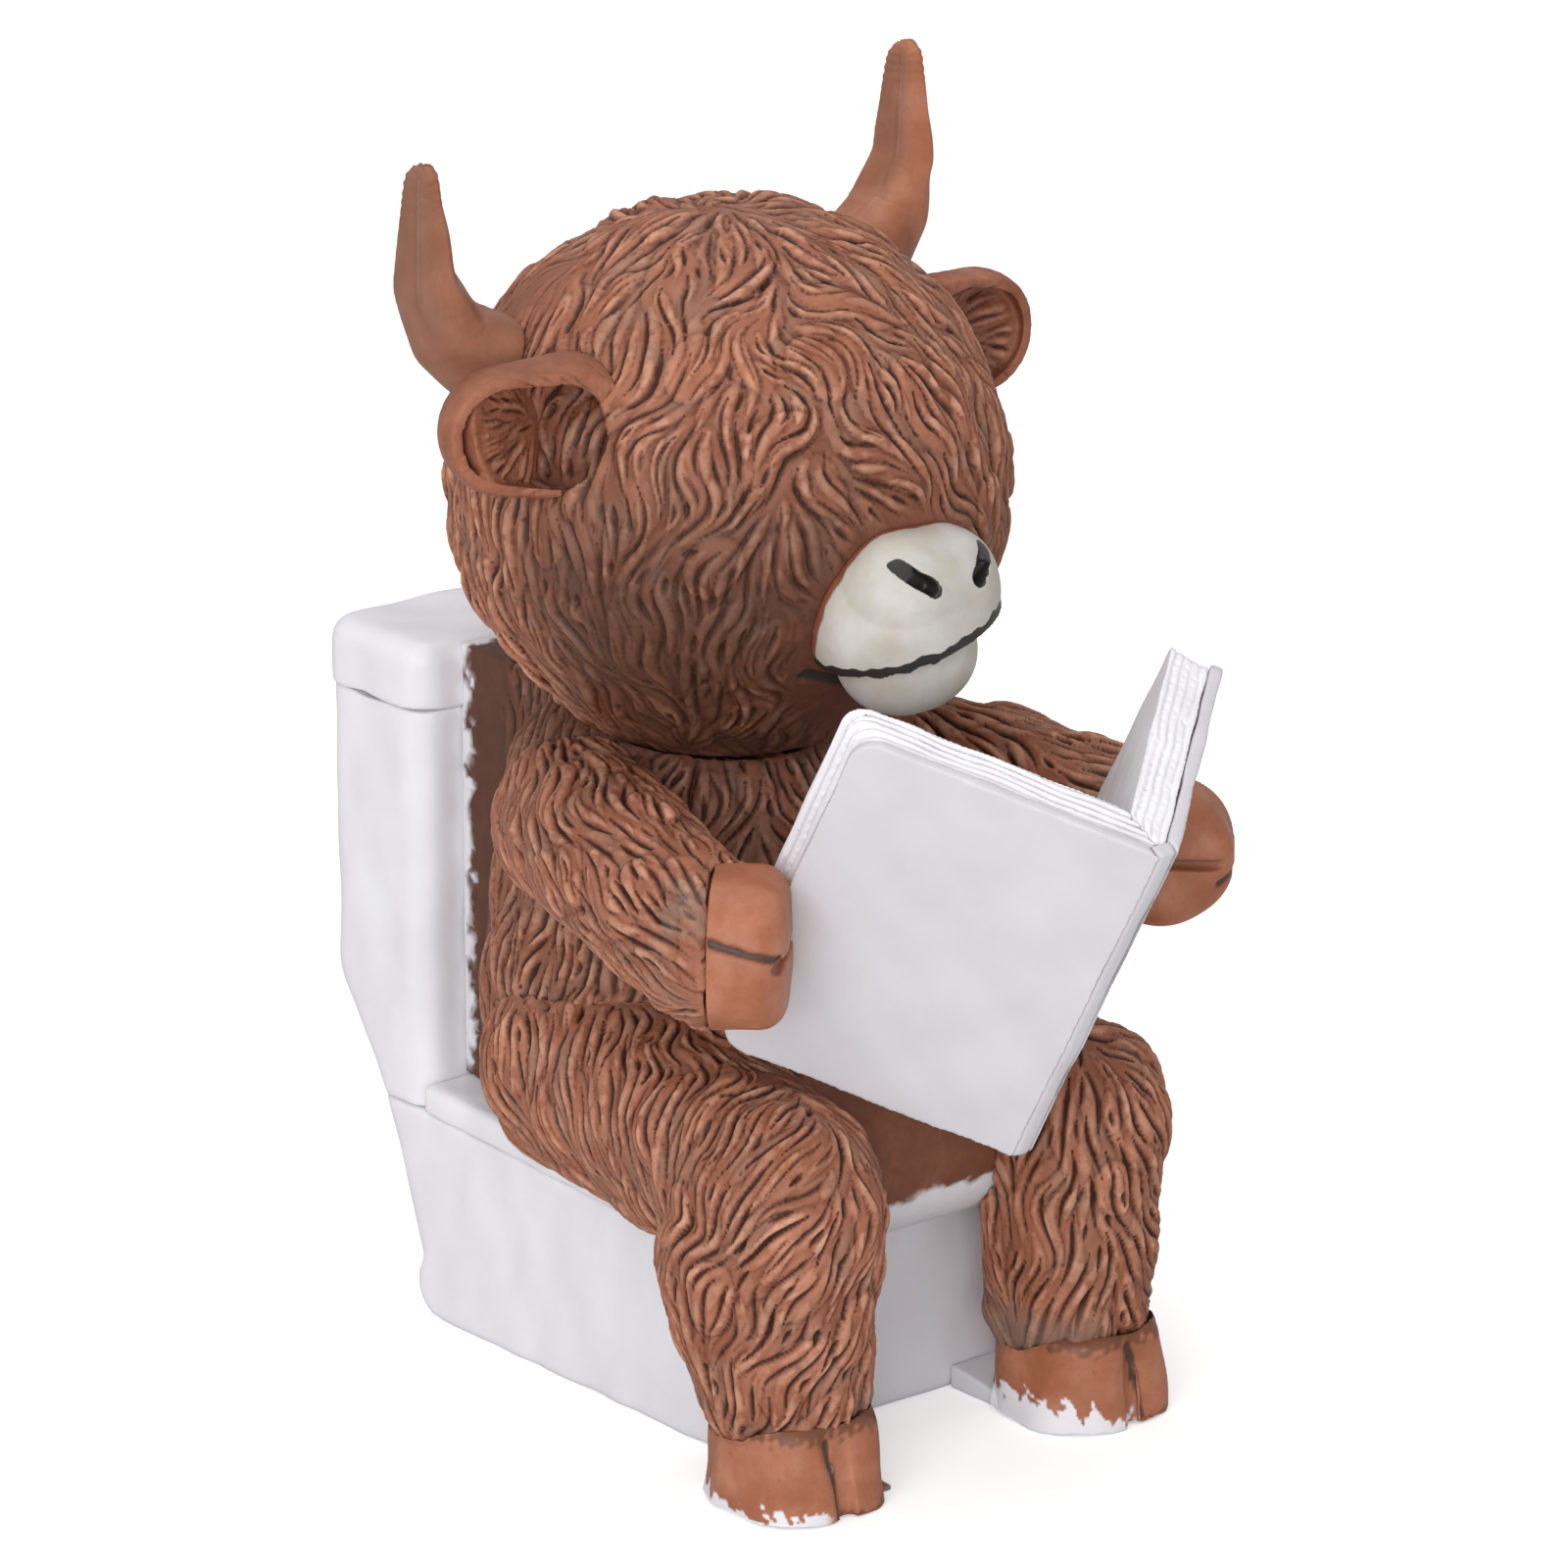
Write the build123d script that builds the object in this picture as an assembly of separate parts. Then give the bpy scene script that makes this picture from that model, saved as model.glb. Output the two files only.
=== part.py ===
from build123d import *
import math
import os

# A Highland cow figurine that sits on a toilet and reads a book: painted resin castings bonded
# together. Millimetres. The origin is the middle of the toilet's footprint on the shelf, +Z is up,
# the cow faces -Y and its left side is +X.

# Toilet
toilet_width = 36.6
pedestal_length = 48.4
pedestal_front_height = 20.5
pedestal_rear_height = 22.8
pedestal_heel_round = 3.6
pedestal_front_corner = 1.6
pedestal_rear_corner = 3.5
seat_thickness = 3.3
seat_overhang = 0.4
seat_edge_round = 1.1
cistern_gap_behind_pedestal = 1.6
cistern_depth = 16.8
cistern_height = 43.4
cistern_foot_depth = 9.2
cistern_foot_rise = 11.5
cistern_corner = 3.2
cistern_bend_round = 8.0
lid_height = 7.3
lid_edge_round = 2.4
lid_overhang = 0.25

# Torso, a pear shape whose back is bridged to the cistern
torso_centre_y = 4.4
hip_girth = 43.0
hip_centre_z = 39.0
shoulder_girth = 38.0
shoulder_centre_z = 58.0
back_bridge_width = 26.0
back_bridge_drop_below_lid = 0.4
lap_width = 28.0
lap_girth = 19.6
lap_centre_y = -24.0
lap_centre_z = 30.0

# Head
head_girth = 56.8
head_centre_y = -1.9
head_centre_z = 94.7
neck_spigot_diameter = 13.0
neck_spigot_length = 8.0
spigot_clearance = 0.1

# Muzzle and lower lip, placed from the head's front and middle, which meet in the mouth's plane
muzzle_width = 20.4
muzzle_girth = 18.6
muzzle_behind_head_front = 1.3
muzzle_below_head_centre = 8.3
nose_width = 18.4
nose_girth = 14.0
nose_ahead_of_muzzle = 1.9
nose_above_muzzle = 2.6
mouth_below_head_centre = 9.8
mouth_tilt = 17.0
nostril_length = 6.2
nostril_width = 1.6
nostril_depth = 1.3
nostril_spread = 4.8
nostril_above_nose = 4.0
nostril_slant = 140.0
lip_width = 15.0
lip_girth = 13.0
lip_behind_head_front = 0.7
lip_below_head_centre = 11.7

# Horns, the right one set lower than the left
horn_root_girth = 11.0
horn_bend_girth = 8.5
horn_belly_girth = 7.1
horn_tip_girth = 4.2
horn_root_x = 21.5
horn_root_y = 5.0
horn_root_z = 110.6
horn_bend_x = 28.2
horn_bend_y = 6.7
horn_bend_z = 115.7
horn_belly_x = 30.8
horn_belly_y = 7.0
horn_belly_z = 121.2
horn_tip_x = 31.0
horn_tip_y = 7.1
horn_tip_z = 131.6
right_horn_drop = 3.4
horn_spigot_diameter = 5.0
horn_spigot_length = 5.0

# Ears, cupped, with a hollow that runs on into the head. The left one is shorter and turned
# further to the front
ear_root_girth = 14.6
ear_tip_girth = 12.8
ear_wall = 1.1
ear_hollow_girth = 11.6
ear_hollow_x = 26.4
ear_hollow_y = -7.2
ear_root_x = 24.0
ear_root_y = -6.6
ear_root_z = 105.2
ear_tip_x = 31.1
ear_tip_y = -5.3
ear_tip_z = 105.6
ear_mouth_ahead_of_tip = 2.8
right_ear_turn = 22.0
left_ear_turn = 4.0
left_ear_inset = 1.4

# Arms and fore hooves, the left arm held lower than the right
shoulder_joint_girth = 17.0
elbow_girth = 16.4
wrist_girth = 15.8
shoulder_joint_x = 18.2
shoulder_joint_y = 0.0
shoulder_joint_z = 61.6
elbow_x = 24.4
elbow_y = -14.5
elbow_z = 62.2
wrist_x = 29.4
wrist_y = -35.5
wrist_z = 60.0
left_arm_drop = 2.0
right_fore_hoof_girth = 16.2
left_fore_hoof_girth = 15.0
left_fore_hoof_rise = 0.3
fore_hoof_length = 7.6
fore_hoof_toe_round = 3.0
fore_hoof_turn = 45.0
cleft_width = 1.0
cleft_depth = 1.1

# Legs and hind hooves, the left leg drawn further in
hip_joint_girth = 23.4
knee_girth = 20.0
ankle_girth = 17.4
calf_girth = 17.2
calf_low_girth = 15.6
hip_joint_x = 13.5
hip_joint_y = 3.4
hip_joint_z = 34.0
knee_x = 19.4
knee_y = -34.4
knee_z = 31.4
calf_x = 22.2
calf_y = -31.0
calf_z = 25.0
calf_low_x = 20.2
calf_low_y = -32.9
calf_low_z = 12.6
ankle_x = 19.4
ankle_y = -34.2
ankle_z = 12.0
left_leg_inset = 1.0
hind_hoof_width = 17.2
hind_hoof_length = 17.8
hind_hoof_height = 10.4
hind_hoof_front_y = -44.8
hind_hoof_toe_round = 7.0
hind_hoof_top_round = 2.0
hind_hoof_wall_lean = 6.0
foot_pad_height = 2.6
foot_pad_inside_toilet_side = 7.3
foot_pad_toe_height = 0.5

# Book
book_spine_top_y = -68.9
book_spine_top_z = 71.7
book_height = 42.6
book_lean = 30.0
spine_width = 2.4
spine_thickness = 1.8
right_leaf_turn = 43.0
left_leaf_turn = 47.0
cover_width = 31.4
cover_thickness = 1.4
cover_corner = 3.0
page_stack_thickness = 4.2
page_inset = 0.4
right_page_fan = 2.0
left_page_fan = 0.8
page_layers = 4
page_groove_width = 0.35
page_groove_depth = 0.45

# One overrun for every cut that has to pass right through
overrun = 5.0


def limb(start, end, start_girth, end_girth):
    """A tapering round body with a ball at each end, smooth where they meet."""
    start = Vector(*start)
    end = Vector(*end)
    run = (end - start).length
    start_radius = start_girth / 2
    end_radius = end_girth / 2
    lean = (start_radius - end_radius) / run
    outward = math.sqrt(1 - lean * lean)
    heel = (0, -start_radius)
    toe = (0, run + end_radius)
    start_touch = (start_radius * outward, start_radius * lean)
    end_touch = (end_radius * outward, run + end_radius * lean)
    outline = TangentArc(heel, start_touch, tangent=(1, 0))
    outline += Line(start_touch, end_touch)
    outline += TangentArc(toe, end_touch, tangent=(1, 0))
    outline += Line(toe, heel)
    body = revolve(Plane.XZ * make_face(outline), Axis.Z)
    return Plane(origin=start, z_dir=end - start) * body


def cut(piece, *others):
    """The piece without what its neighbours fill, as its largest solid."""
    for other in others:
        for solid in other.solids():
            piece = Part((piece - solid).wrapped)
    return Part(max(piece.solids(), key=lambda solid: solid.volume).wrapped)


def other_side(piece):
    return mirror(piece, about=Plane.YZ)


def leans_less_than_it_rises(edge):
    tangent = edge.tangent_at(0)
    return abs(tangent.X) < abs(tangent.Z)


# Levels and faces that several pieces share
toilet_half = toilet_width / 2
pedestal_front = -pedestal_length / 2
pedestal_rear = pedestal_length / 2
cistern_front = pedestal_rear + cistern_gap_behind_pedestal
cistern_rear = cistern_front + cistern_depth
cistern_top = pedestal_rear_height + cistern_height
lid_top = cistern_top + lid_height
seat_rise = pedestal_rear_height - pedestal_front_height
seat_slope = seat_rise / (cistern_front - pedestal_front)
foot_pad_inner_x = toilet_half - foot_pad_inside_toilet_side
head_front = head_centre_y - head_girth / 2
muzzle_centre_y = head_front + muzzle_behind_head_front
muzzle_centre_z = head_centre_z - muzzle_below_head_centre
nose_y = muzzle_centre_y - nose_ahead_of_muzzle
nose_z = muzzle_centre_z + nose_above_muzzle
mouth_z = head_centre_z - mouth_below_head_centre
lip_centre_y = head_front + lip_behind_head_front
lip_centre_z = head_centre_z - lip_below_head_centre


def make_pedestal():
    """The floor-standing body, flared behind to carry the cistern."""
    shelf_rear = cistern_front + cistern_foot_depth
    heel = (pedestal_rear, 0)
    heel_top = (pedestal_rear + pedestal_heel_round, pedestal_heel_round)
    side = Polyline(
        heel_top,
        (shelf_rear, pedestal_rear_height),
        (cistern_front, pedestal_rear_height),
        (pedestal_front, pedestal_front_height),
        (pedestal_front, 0),
        heel,
    )
    side += TangentArc(heel, heel_top, tangent=(1, 0))
    body = extrude(Plane.YZ * make_face(side), amount=toilet_half, both=True)
    upright = body.edges().filter_by(Axis.Z)
    body = fillet(upright.group_by(Axis.Y)[0], pedestal_front_corner)
    leaning = body.edges().filter_by(leans_less_than_it_rises)
    rear = [edge for edge in leaning if edge.center().Y > pedestal_rear]
    return fillet(rear, pedestal_rear_corner)


def make_seat():
    """The closed seat, which slopes down to the front."""
    front = pedestal_front - seat_overhang
    front_height = pedestal_front_height - seat_overhang * seat_slope
    side = Polyline(
        (front, front_height),
        (cistern_front, pedestal_rear_height),
        (cistern_front, pedestal_rear_height + seat_thickness),
        (front, front_height + seat_thickness),
        close=True,
    )
    slab = extrude(Plane.YZ * make_face(side), amount=toilet_half + seat_overhang, both=True)
    corners = slab.edges().filter_by(Axis.Z).group_by(Axis.Y)[0]
    slab = fillet(corners, pedestal_front_corner + seat_overhang)
    top = max(slab.faces(), key=lambda face: face.normal_at().Z)
    rim = [edge for edge in top.edges() if edge.center().Y < cistern_front - seat_edge_round]
    return fillet(rim, seat_edge_round)


def make_cistern():
    """The water tank, narrowed below to the foot that stands on the pedestal."""
    side = Polyline(
        (cistern_front, pedestal_rear_height),
        (cistern_front + cistern_foot_depth, pedestal_rear_height),
        (cistern_rear, pedestal_rear_height + cistern_foot_rise),
        (cistern_rear, cistern_top),
        (cistern_front, cistern_top),
        close=True,
    )
    face = make_face(side)
    rear = face.vertices().group_by(Axis.X)[-1]
    face = fillet(rear.sort_by(Axis.Y)[0], cistern_bend_round)
    body = extrude(Plane.YZ * face, amount=toilet_half, both=True)
    return fillet(body.edges().filter_by(leans_less_than_it_rises), cistern_corner)


def make_lid():
    """The cistern's lid, with its seam along the tank's top."""
    plan = RectangleRounded(
        toilet_width + lid_overhang * 2,
        cistern_depth + lid_overhang * 2,
        cistern_corner + lid_overhang,
    )
    middle = (cistern_front + cistern_rear) / 2
    slab = extrude(Pos(0, middle, cistern_top) * plan, amount=lid_height)
    return fillet(slab.faces().sort_by(Axis.Z)[-1].edges(), lid_edge_round)


def make_head_shape():
    return Pos(0, head_centre_y, head_centre_z) * Sphere(head_girth / 2)


def make_torso_bodies():
    """The pear-shaped body, its bridge to the cistern and the lap between the thighs."""
    hip_centre = (0, torso_centre_y, hip_centre_z)
    shoulder_centre = (0, torso_centre_y, shoulder_centre_z)
    body = limb(hip_centre, shoulder_centre, hip_girth, shoulder_girth)
    bridge_top = lid_top - back_bridge_drop_below_lid
    bridge_bottom = pedestal_rear_height
    bridge_depth = cistern_front - torso_centre_y
    bridge = Pos(0, torso_centre_y + bridge_depth / 2, (bridge_bottom + bridge_top) / 2) * Box(
        back_bridge_width, bridge_depth, bridge_top - bridge_bottom
    )
    lap = Pos(0, lap_centre_y, lap_centre_z) * Rot(0, 90, 0) * Cylinder(lap_girth / 2, lap_width)
    under_lap = Pos(0, (lap_centre_y + torso_centre_y) / 2, lap_centre_z) * Box(
        lap_width, torso_centre_y - lap_centre_y, lap_girth
    )
    return body, bridge, lap, under_lap


def make_neck_spigot(clearance):
    """The head's locating spigot, or with a clearance its socket in the torso."""
    bottom = head_centre_z - head_girth / 2 - neck_spigot_length - clearance
    spigot = Cylinder(neck_spigot_diameter / 2 + clearance, head_centre_z - bottom)
    return Pos(0, head_centre_y, (head_centre_z + bottom) / 2) * spigot


def above_mouth(piece):
    """What lies above the mouth's plane, which drops towards the right cheek."""
    size = head_girth
    upper = Pos(0, muzzle_centre_y, mouth_z) * Rot(0, -mouth_tilt, 0) * Pos(0, 0, size / 2)
    return piece & (upper * Box(size, size, size))


def crosswise(width, girth, middle_y, middle_z):
    """A round-ended roll that lies across the face."""
    end = (width - girth) / 2
    return limb((-end, middle_y, middle_z), (end, middle_y, middle_z), girth, girth)


def make_muzzle_shape():
    """The broad upper muzzle with its square nose, down to the mouth."""
    roll = crosswise(muzzle_width, muzzle_girth, muzzle_centre_y, muzzle_centre_z)
    nose = crosswise(nose_width, nose_girth, nose_y, nose_z)
    return above_mouth(roll + nose)


def make_nostril():
    """The left nostril, a slanting slot sunk into the muzzle's front."""
    rise = nostril_above_nose / (nose_girth / 2)
    front = nose_y - nose_girth / 2 * math.sqrt(1 - rise * rise)
    slot = Rot(0, 0, nostril_slant) * SlotOverall(nostril_length, nostril_width)
    face = Plane(
        origin=(nostril_spread, front - overrun, nose_z + nostril_above_nose),
        x_dir=(-1, 0, 0),
        z_dir=(0, 1, 0),
    )
    return extrude(face * slot, amount=overrun + nostril_depth)


def make_lip_shape():
    lip = crosswise(lip_width, lip_girth, lip_centre_y, lip_centre_z)
    return lip - above_mouth(lip)


def make_horn_shape(drop):
    """A horn that leaves the head sideways and turns up to a blunt tip."""
    root = (horn_root_x, horn_root_y, horn_root_z - drop)
    bend = (horn_bend_x, horn_bend_y, horn_bend_z - drop)
    belly = (horn_belly_x, horn_belly_y, horn_belly_z - drop)
    tip = (horn_tip_x, horn_tip_y, horn_tip_z - drop)
    lower = limb(root, bend, horn_root_girth, horn_bend_girth)
    middle = limb(bend, belly, horn_bend_girth, horn_belly_girth)
    return lower + middle + limb(belly, tip, horn_belly_girth, horn_tip_girth)


def make_horn_spigot(drop, clearance):
    """The horn's locating spigot, or with a clearance its socket in the head."""
    root = Vector(horn_root_x, horn_root_y, horn_root_z - drop)
    bend = Vector(horn_bend_x, horn_bend_y, horn_bend_z - drop)
    run = (bend - root).length
    direction = (bend - root).normalized()
    length = horn_spigot_length + clearance
    spigot = Cylinder(horn_spigot_diameter / 2 + clearance, length + run)
    middle = root + direction * ((run - length) / 2)
    return Plane(origin=middle, z_dir=direction) * spigot


def make_ear_hollow(inset):
    """The hollow of the ear, which also scoops the head in front of it."""
    root = (ear_hollow_x, ear_hollow_y, ear_root_z)
    tip = (ear_tip_x - inset, ear_tip_y, ear_tip_z)
    return limb(root, tip, ear_hollow_girth, ear_tip_girth - ear_wall * 2)


def make_ear_shape(turn, inset):
    """A cupped ear, cut open towards the front."""
    root = (ear_root_x, ear_root_y, ear_root_z)
    tip = (ear_tip_x - inset, ear_tip_y, ear_tip_z)
    outside = limb(root, tip, ear_root_girth, ear_tip_girth)
    size = ear_root_girth * 3
    mouth = Pos(tip[0], ear_tip_y - ear_mouth_ahead_of_tip, ear_tip_z) * Rot(0, 0, turn)
    return outside - make_ear_hollow(inset) - mouth * Pos(0, -size / 2, 0) * Box(size, size, size)


def make_arm_shape(drop):
    shoulder = (shoulder_joint_x, shoulder_joint_y, shoulder_joint_z - drop)
    elbow = (elbow_x, elbow_y, elbow_z - drop)
    wrist = (wrist_x, wrist_y, wrist_z - drop)
    upper = limb(shoulder, elbow, shoulder_joint_girth, elbow_girth)
    return upper + limb(elbow, wrist, elbow_girth, wrist_girth)


def make_fore_hoof_shape(girth, drop):
    """The cloven hoof, turned inwards from the wrist to hold the book's edge."""
    hoof = Pos(0, 0, fore_hoof_length / 2) * Cylinder(girth / 2, fore_hoof_length)
    toe = hoof.faces().sort_by(Axis.Z)[-1]
    hoof = fillet(toe.edges(), fore_hoof_toe_round)
    slot = Pos(0, 0, fore_hoof_length) * Box(girth * 2, cleft_width, cleft_depth * 2)
    turn = math.radians(fore_hoof_turn)
    place = Plane(
        origin=(wrist_x, wrist_y, wrist_z - drop),
        x_dir=(math.cos(turn), -math.sin(turn), 0),
        z_dir=(-math.sin(turn), -math.cos(turn), 0),
    )
    return place * (hoof - slot)


def make_leg_shape(inset):
    """The thigh along the seat and the shin down to the hoof, with the calf behind."""
    hip = (hip_joint_x, hip_joint_y, hip_joint_z)
    knee = (knee_x - inset, knee_y, knee_z)
    calf = (calf_x - inset, calf_y, calf_z)
    calf_low = (calf_low_x - inset, calf_low_y, calf_low_z)
    ankle = (ankle_x - inset, ankle_y, ankle_z)
    thigh = limb(hip, knee, hip_joint_girth, knee_girth)
    shin = limb(knee, ankle, knee_girth, ankle_girth)
    return thigh + shin + limb(calf, calf_low, calf_girth, calf_low_girth)


def make_hind_hoof_shape(inset):
    """The cloven hoof that the leg stands on, with two toes."""
    middle_y = hind_hoof_front_y + hind_hoof_length / 2
    plan = RectangleRounded(hind_hoof_width, hind_hoof_length, hind_hoof_toe_round)
    place = Pos(ankle_x - inset, middle_y, 0)
    hoof = extrude(place * plan, amount=hind_hoof_height, taper=hind_hoof_wall_lean)
    hoof = fillet(hoof.faces().sort_by(Axis.Z)[-1].edges(), hind_hoof_top_round)
    slot = Pos(ankle_x - inset, hind_hoof_front_y, hind_hoof_height / 2) * Box(
        cleft_width * 3 / 2, cleft_depth * 2, hind_hoof_height * 2
    )
    return hoof - slot


def make_foot_pad():
    """The white wedge under a hoof's inner side, which joins the foot to the pedestal."""
    toe = hind_hoof_front_y + hind_hoof_toe_round / 2
    side = Polyline(
        (pedestal_front, 0),
        (pedestal_front, foot_pad_height),
        (toe, foot_pad_toe_height),
        (toe, 0),
        close=True,
    )
    width = ankle_x - foot_pad_inner_x
    return Pos(foot_pad_inner_x, 0, 0) * extrude(Plane.YZ * make_face(side), amount=width)


def book_frame():
    """The plane square to the spine at its lower end: X across, Y from the spine into the fold."""
    lean = math.radians(book_lean)
    bottom_y = book_spine_top_y + book_height * math.sin(lean)
    bottom_z = book_spine_top_z - book_height * math.cos(lean)
    return Plane(
        origin=(0, bottom_y, bottom_z),
        x_dir=(1, 0, 0),
        z_dir=(0, -math.sin(lean), math.cos(lean)),
    )


def book_layer(inner, outer, length, height_inset):
    """A layer of the left leaf before it is opened, between two depths from the outside face."""
    layer = Box(outer - inner, length, book_height - height_inset * 2)
    layer = Pos(-(inner + outer) / 2, length / 2, book_height / 2) * layer
    tips = layer.edges().filter_by(Axis.X).group_by(Axis.Y)[-1]
    return fillet(tips, cover_corner - height_inset)


def left_of_middle(piece):
    size = cover_width * 3
    return piece & (Pos(size / 2, 0, book_height / 2) * Box(size, size, size))


def open_leaf(piece, turn):
    """Turns a leaf about the spine's edge into its open place."""
    turned = Pos(spine_width / 2, 0, 0) * Rot(0, 0, -turn) * piece
    return book_frame() * left_of_middle(turned)


def make_spine():
    """The strip between the two boards, rounded on its outside edges."""
    strip = Pos(0, spine_thickness / 2, book_height / 2) * Box(spine_width, spine_thickness, book_height)
    outside = strip.edges().filter_by(Axis.Z).group_by(Axis.Y)[0]
    return book_frame() * fillet(outside, spine_thickness / 3)


def make_board(leaf_turn):
    """The left cover board."""
    return open_leaf(book_layer(0, cover_thickness, cover_width, 0), leaf_turn)


def make_page_stack(leaf_turn, fan):
    """The left half of the pages: layers fanned in steps, with a groove between each two."""
    pitch = page_stack_thickness / page_layers
    low = cover_thickness
    length = cover_width - page_inset
    stack = open_leaf(book_layer(low, low + pitch, length, page_inset), leaf_turn)
    for number in range(1, page_layers):
        low += pitch
        neck_length = length - page_groove_depth
        neck_inset = page_inset + page_groove_depth
        neck = book_layer(low - pitch / 2, low + pitch / 2, neck_length, neck_inset)
        length += fan / (page_layers - 1)
        layer = book_layer(low + page_groove_width, low + pitch, length, page_inset)
        stack = stack + open_leaf(neck, leaf_turn) + open_leaf(layer, leaf_turn)
    return stack


# The toilet
pedestal = make_pedestal()
seat = make_seat()
cistern = make_cistern()
cistern_lid = make_lid()
toilet = (pedestal, seat, cistern, cistern_lid)

# The cow's whole shapes, before each gives way to its neighbours
head_shape = make_head_shape()
torso_bodies = make_torso_bodies()
torso_shape = torso_bodies[0] + torso_bodies[1] + torso_bodies[2] + torso_bodies[3]
muzzle_shape = make_muzzle_shape()
nostril = make_nostril()

left_socket = make_horn_spigot(0, spigot_clearance)
right_socket = other_side(make_horn_spigot(right_horn_drop, spigot_clearance))
left_scoop = make_ear_hollow(left_ear_inset)
right_scoop = other_side(make_ear_hollow(0))
head = head_shape + make_neck_spigot(0)
head = cut(head, left_socket, right_socket, left_scoop, right_scoop)
torso = cut(torso_shape, *toilet, head_shape, make_neck_spigot(spigot_clearance))
spine = cut(make_spine(), torso)

pieces = {
    "pedestal": pedestal,
    "seat": seat,
    "cistern": cistern,
    "cistern_lid": cistern_lid,
    "torso": torso,
    "head": head,
    "muzzle": cut(muzzle_shape, head_shape, nostril, other_side(nostril)),
    "lower_lip": cut(make_lip_shape(), head_shape),
    "book_spine": spine,
}


def make_side(
    horn_drop, ear_turn, ear_inset, arm_drop, hoof_girth, hoof_rise, leg_inset, leaf_turn, page_fan
):
    """The pieces of one side, made on the left."""
    horn_shape = make_horn_shape(horn_drop)
    foot_pad = make_foot_pad()
    leg_shape = make_leg_shape(leg_inset)
    leg = cut(leg_shape, *torso_bodies, *toilet)
    board = cut(make_board(leaf_turn), spine, leg, torso)
    pages = cut(make_page_stack(leaf_turn, page_fan), spine, board, leg, torso)
    hoof_shape = make_fore_hoof_shape(hoof_girth, arm_drop - hoof_rise)
    return {
        "horn": cut(horn_shape - head_shape + make_horn_spigot(horn_drop, 0)),
        "ear": cut(make_ear_shape(ear_turn, ear_inset), head_shape, horn_shape),
        "arm": cut(make_arm_shape(arm_drop), *torso_bodies, head_shape, leg, board, pages, hoof_shape),
        "fore_hoof": cut(hoof_shape, board, pages),
        "leg": leg,
        "foot_pad": foot_pad,
        "hind_hoof": cut(make_hind_hoof_shape(leg_inset), leg_shape, foot_pad, pedestal, seat),
        "cover_board": board,
        "pages": pages,
    }


left_side = make_side(
    horn_drop=0,
    ear_turn=left_ear_turn,
    ear_inset=left_ear_inset,
    arm_drop=left_arm_drop,
    hoof_girth=left_fore_hoof_girth,
    hoof_rise=left_fore_hoof_rise,
    leg_inset=left_leg_inset,
    leaf_turn=left_leaf_turn,
    page_fan=left_page_fan,
)
right_side = make_side(
    horn_drop=right_horn_drop,
    ear_turn=right_ear_turn,
    ear_inset=0,
    arm_drop=0,
    hoof_girth=right_fore_hoof_girth,
    hoof_rise=0,
    leg_inset=0,
    leaf_turn=right_leaf_turn,
    page_fan=right_page_fan,
)
for name in left_side:
    pieces["left_" + name] = left_side[name]
    pieces["right_" + name] = other_side(right_side[name])

os.makedirs("parts", exist_ok=True)
for name, piece in pieces.items():
    export_step(piece, os.path.join("parts", name + ".step"))
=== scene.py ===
"""A painted resin cow that sits on a toilet and reads: the looks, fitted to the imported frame.

The fur is carved the way the model maker did it: even skins of the CAD solids are cut
by rows of tapered tool strokes that follow the lie of the coat, and a dark wash stays in them.
All carving is worked out in millimetres, and each finished piece is set down in metres.
"""

import math

import bmesh
import bpy
import numpy as np
from bpy.props import FloatProperty, FloatVectorProperty, IntProperty, PointerProperty
from mathutils import Matrix, Vector
from mathutils.kdtree import KDTree


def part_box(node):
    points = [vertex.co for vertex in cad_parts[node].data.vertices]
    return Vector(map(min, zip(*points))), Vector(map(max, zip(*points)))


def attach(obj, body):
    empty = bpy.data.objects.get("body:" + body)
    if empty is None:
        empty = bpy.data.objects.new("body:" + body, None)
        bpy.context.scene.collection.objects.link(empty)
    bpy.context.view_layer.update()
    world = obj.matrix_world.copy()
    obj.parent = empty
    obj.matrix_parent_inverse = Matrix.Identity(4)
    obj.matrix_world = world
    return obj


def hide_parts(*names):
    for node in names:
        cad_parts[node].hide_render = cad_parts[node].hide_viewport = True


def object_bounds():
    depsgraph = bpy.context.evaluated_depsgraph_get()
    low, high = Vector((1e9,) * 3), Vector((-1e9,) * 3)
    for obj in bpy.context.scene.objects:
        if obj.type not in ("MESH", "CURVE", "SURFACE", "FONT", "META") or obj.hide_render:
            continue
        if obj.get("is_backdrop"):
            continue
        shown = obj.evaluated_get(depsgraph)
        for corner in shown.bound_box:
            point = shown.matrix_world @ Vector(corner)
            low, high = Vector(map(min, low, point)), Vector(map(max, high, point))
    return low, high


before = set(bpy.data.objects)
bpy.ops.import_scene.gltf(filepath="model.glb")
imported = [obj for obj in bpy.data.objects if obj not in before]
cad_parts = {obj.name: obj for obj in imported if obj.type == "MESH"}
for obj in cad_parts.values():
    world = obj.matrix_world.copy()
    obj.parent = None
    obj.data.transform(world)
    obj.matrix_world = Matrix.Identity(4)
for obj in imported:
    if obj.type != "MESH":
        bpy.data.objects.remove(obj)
CAD_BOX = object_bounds()

bl_info = {
    "name": "Painted resin cow figurine",
    "version": (1, 0, 0),
    "blender": (4, 5, 0),
    "location": "View3D > Sidebar > Cow",
    "description": "Carves and paints a small resin cow that reads on a toilet",
    "category": "Add Mesh",
}

# ---------------------------------------------------------------- measures

MM = 0.001
BODY = "root"
WELD = 0.001 * MM
SIDES = {"left": 1, "right": -1}
MOST_TRIANGLES = 195000
FULL_TURN = 6.28
ACROSS = np.array([1.0, 0.0, 0.0])
DOWN = np.array([0.0, 0.0, -1.0])
FORWARD = np.array([0.0, -1.0, 0.0])
FLAT = np.array([1.0, 0.0, 1.0])


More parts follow.
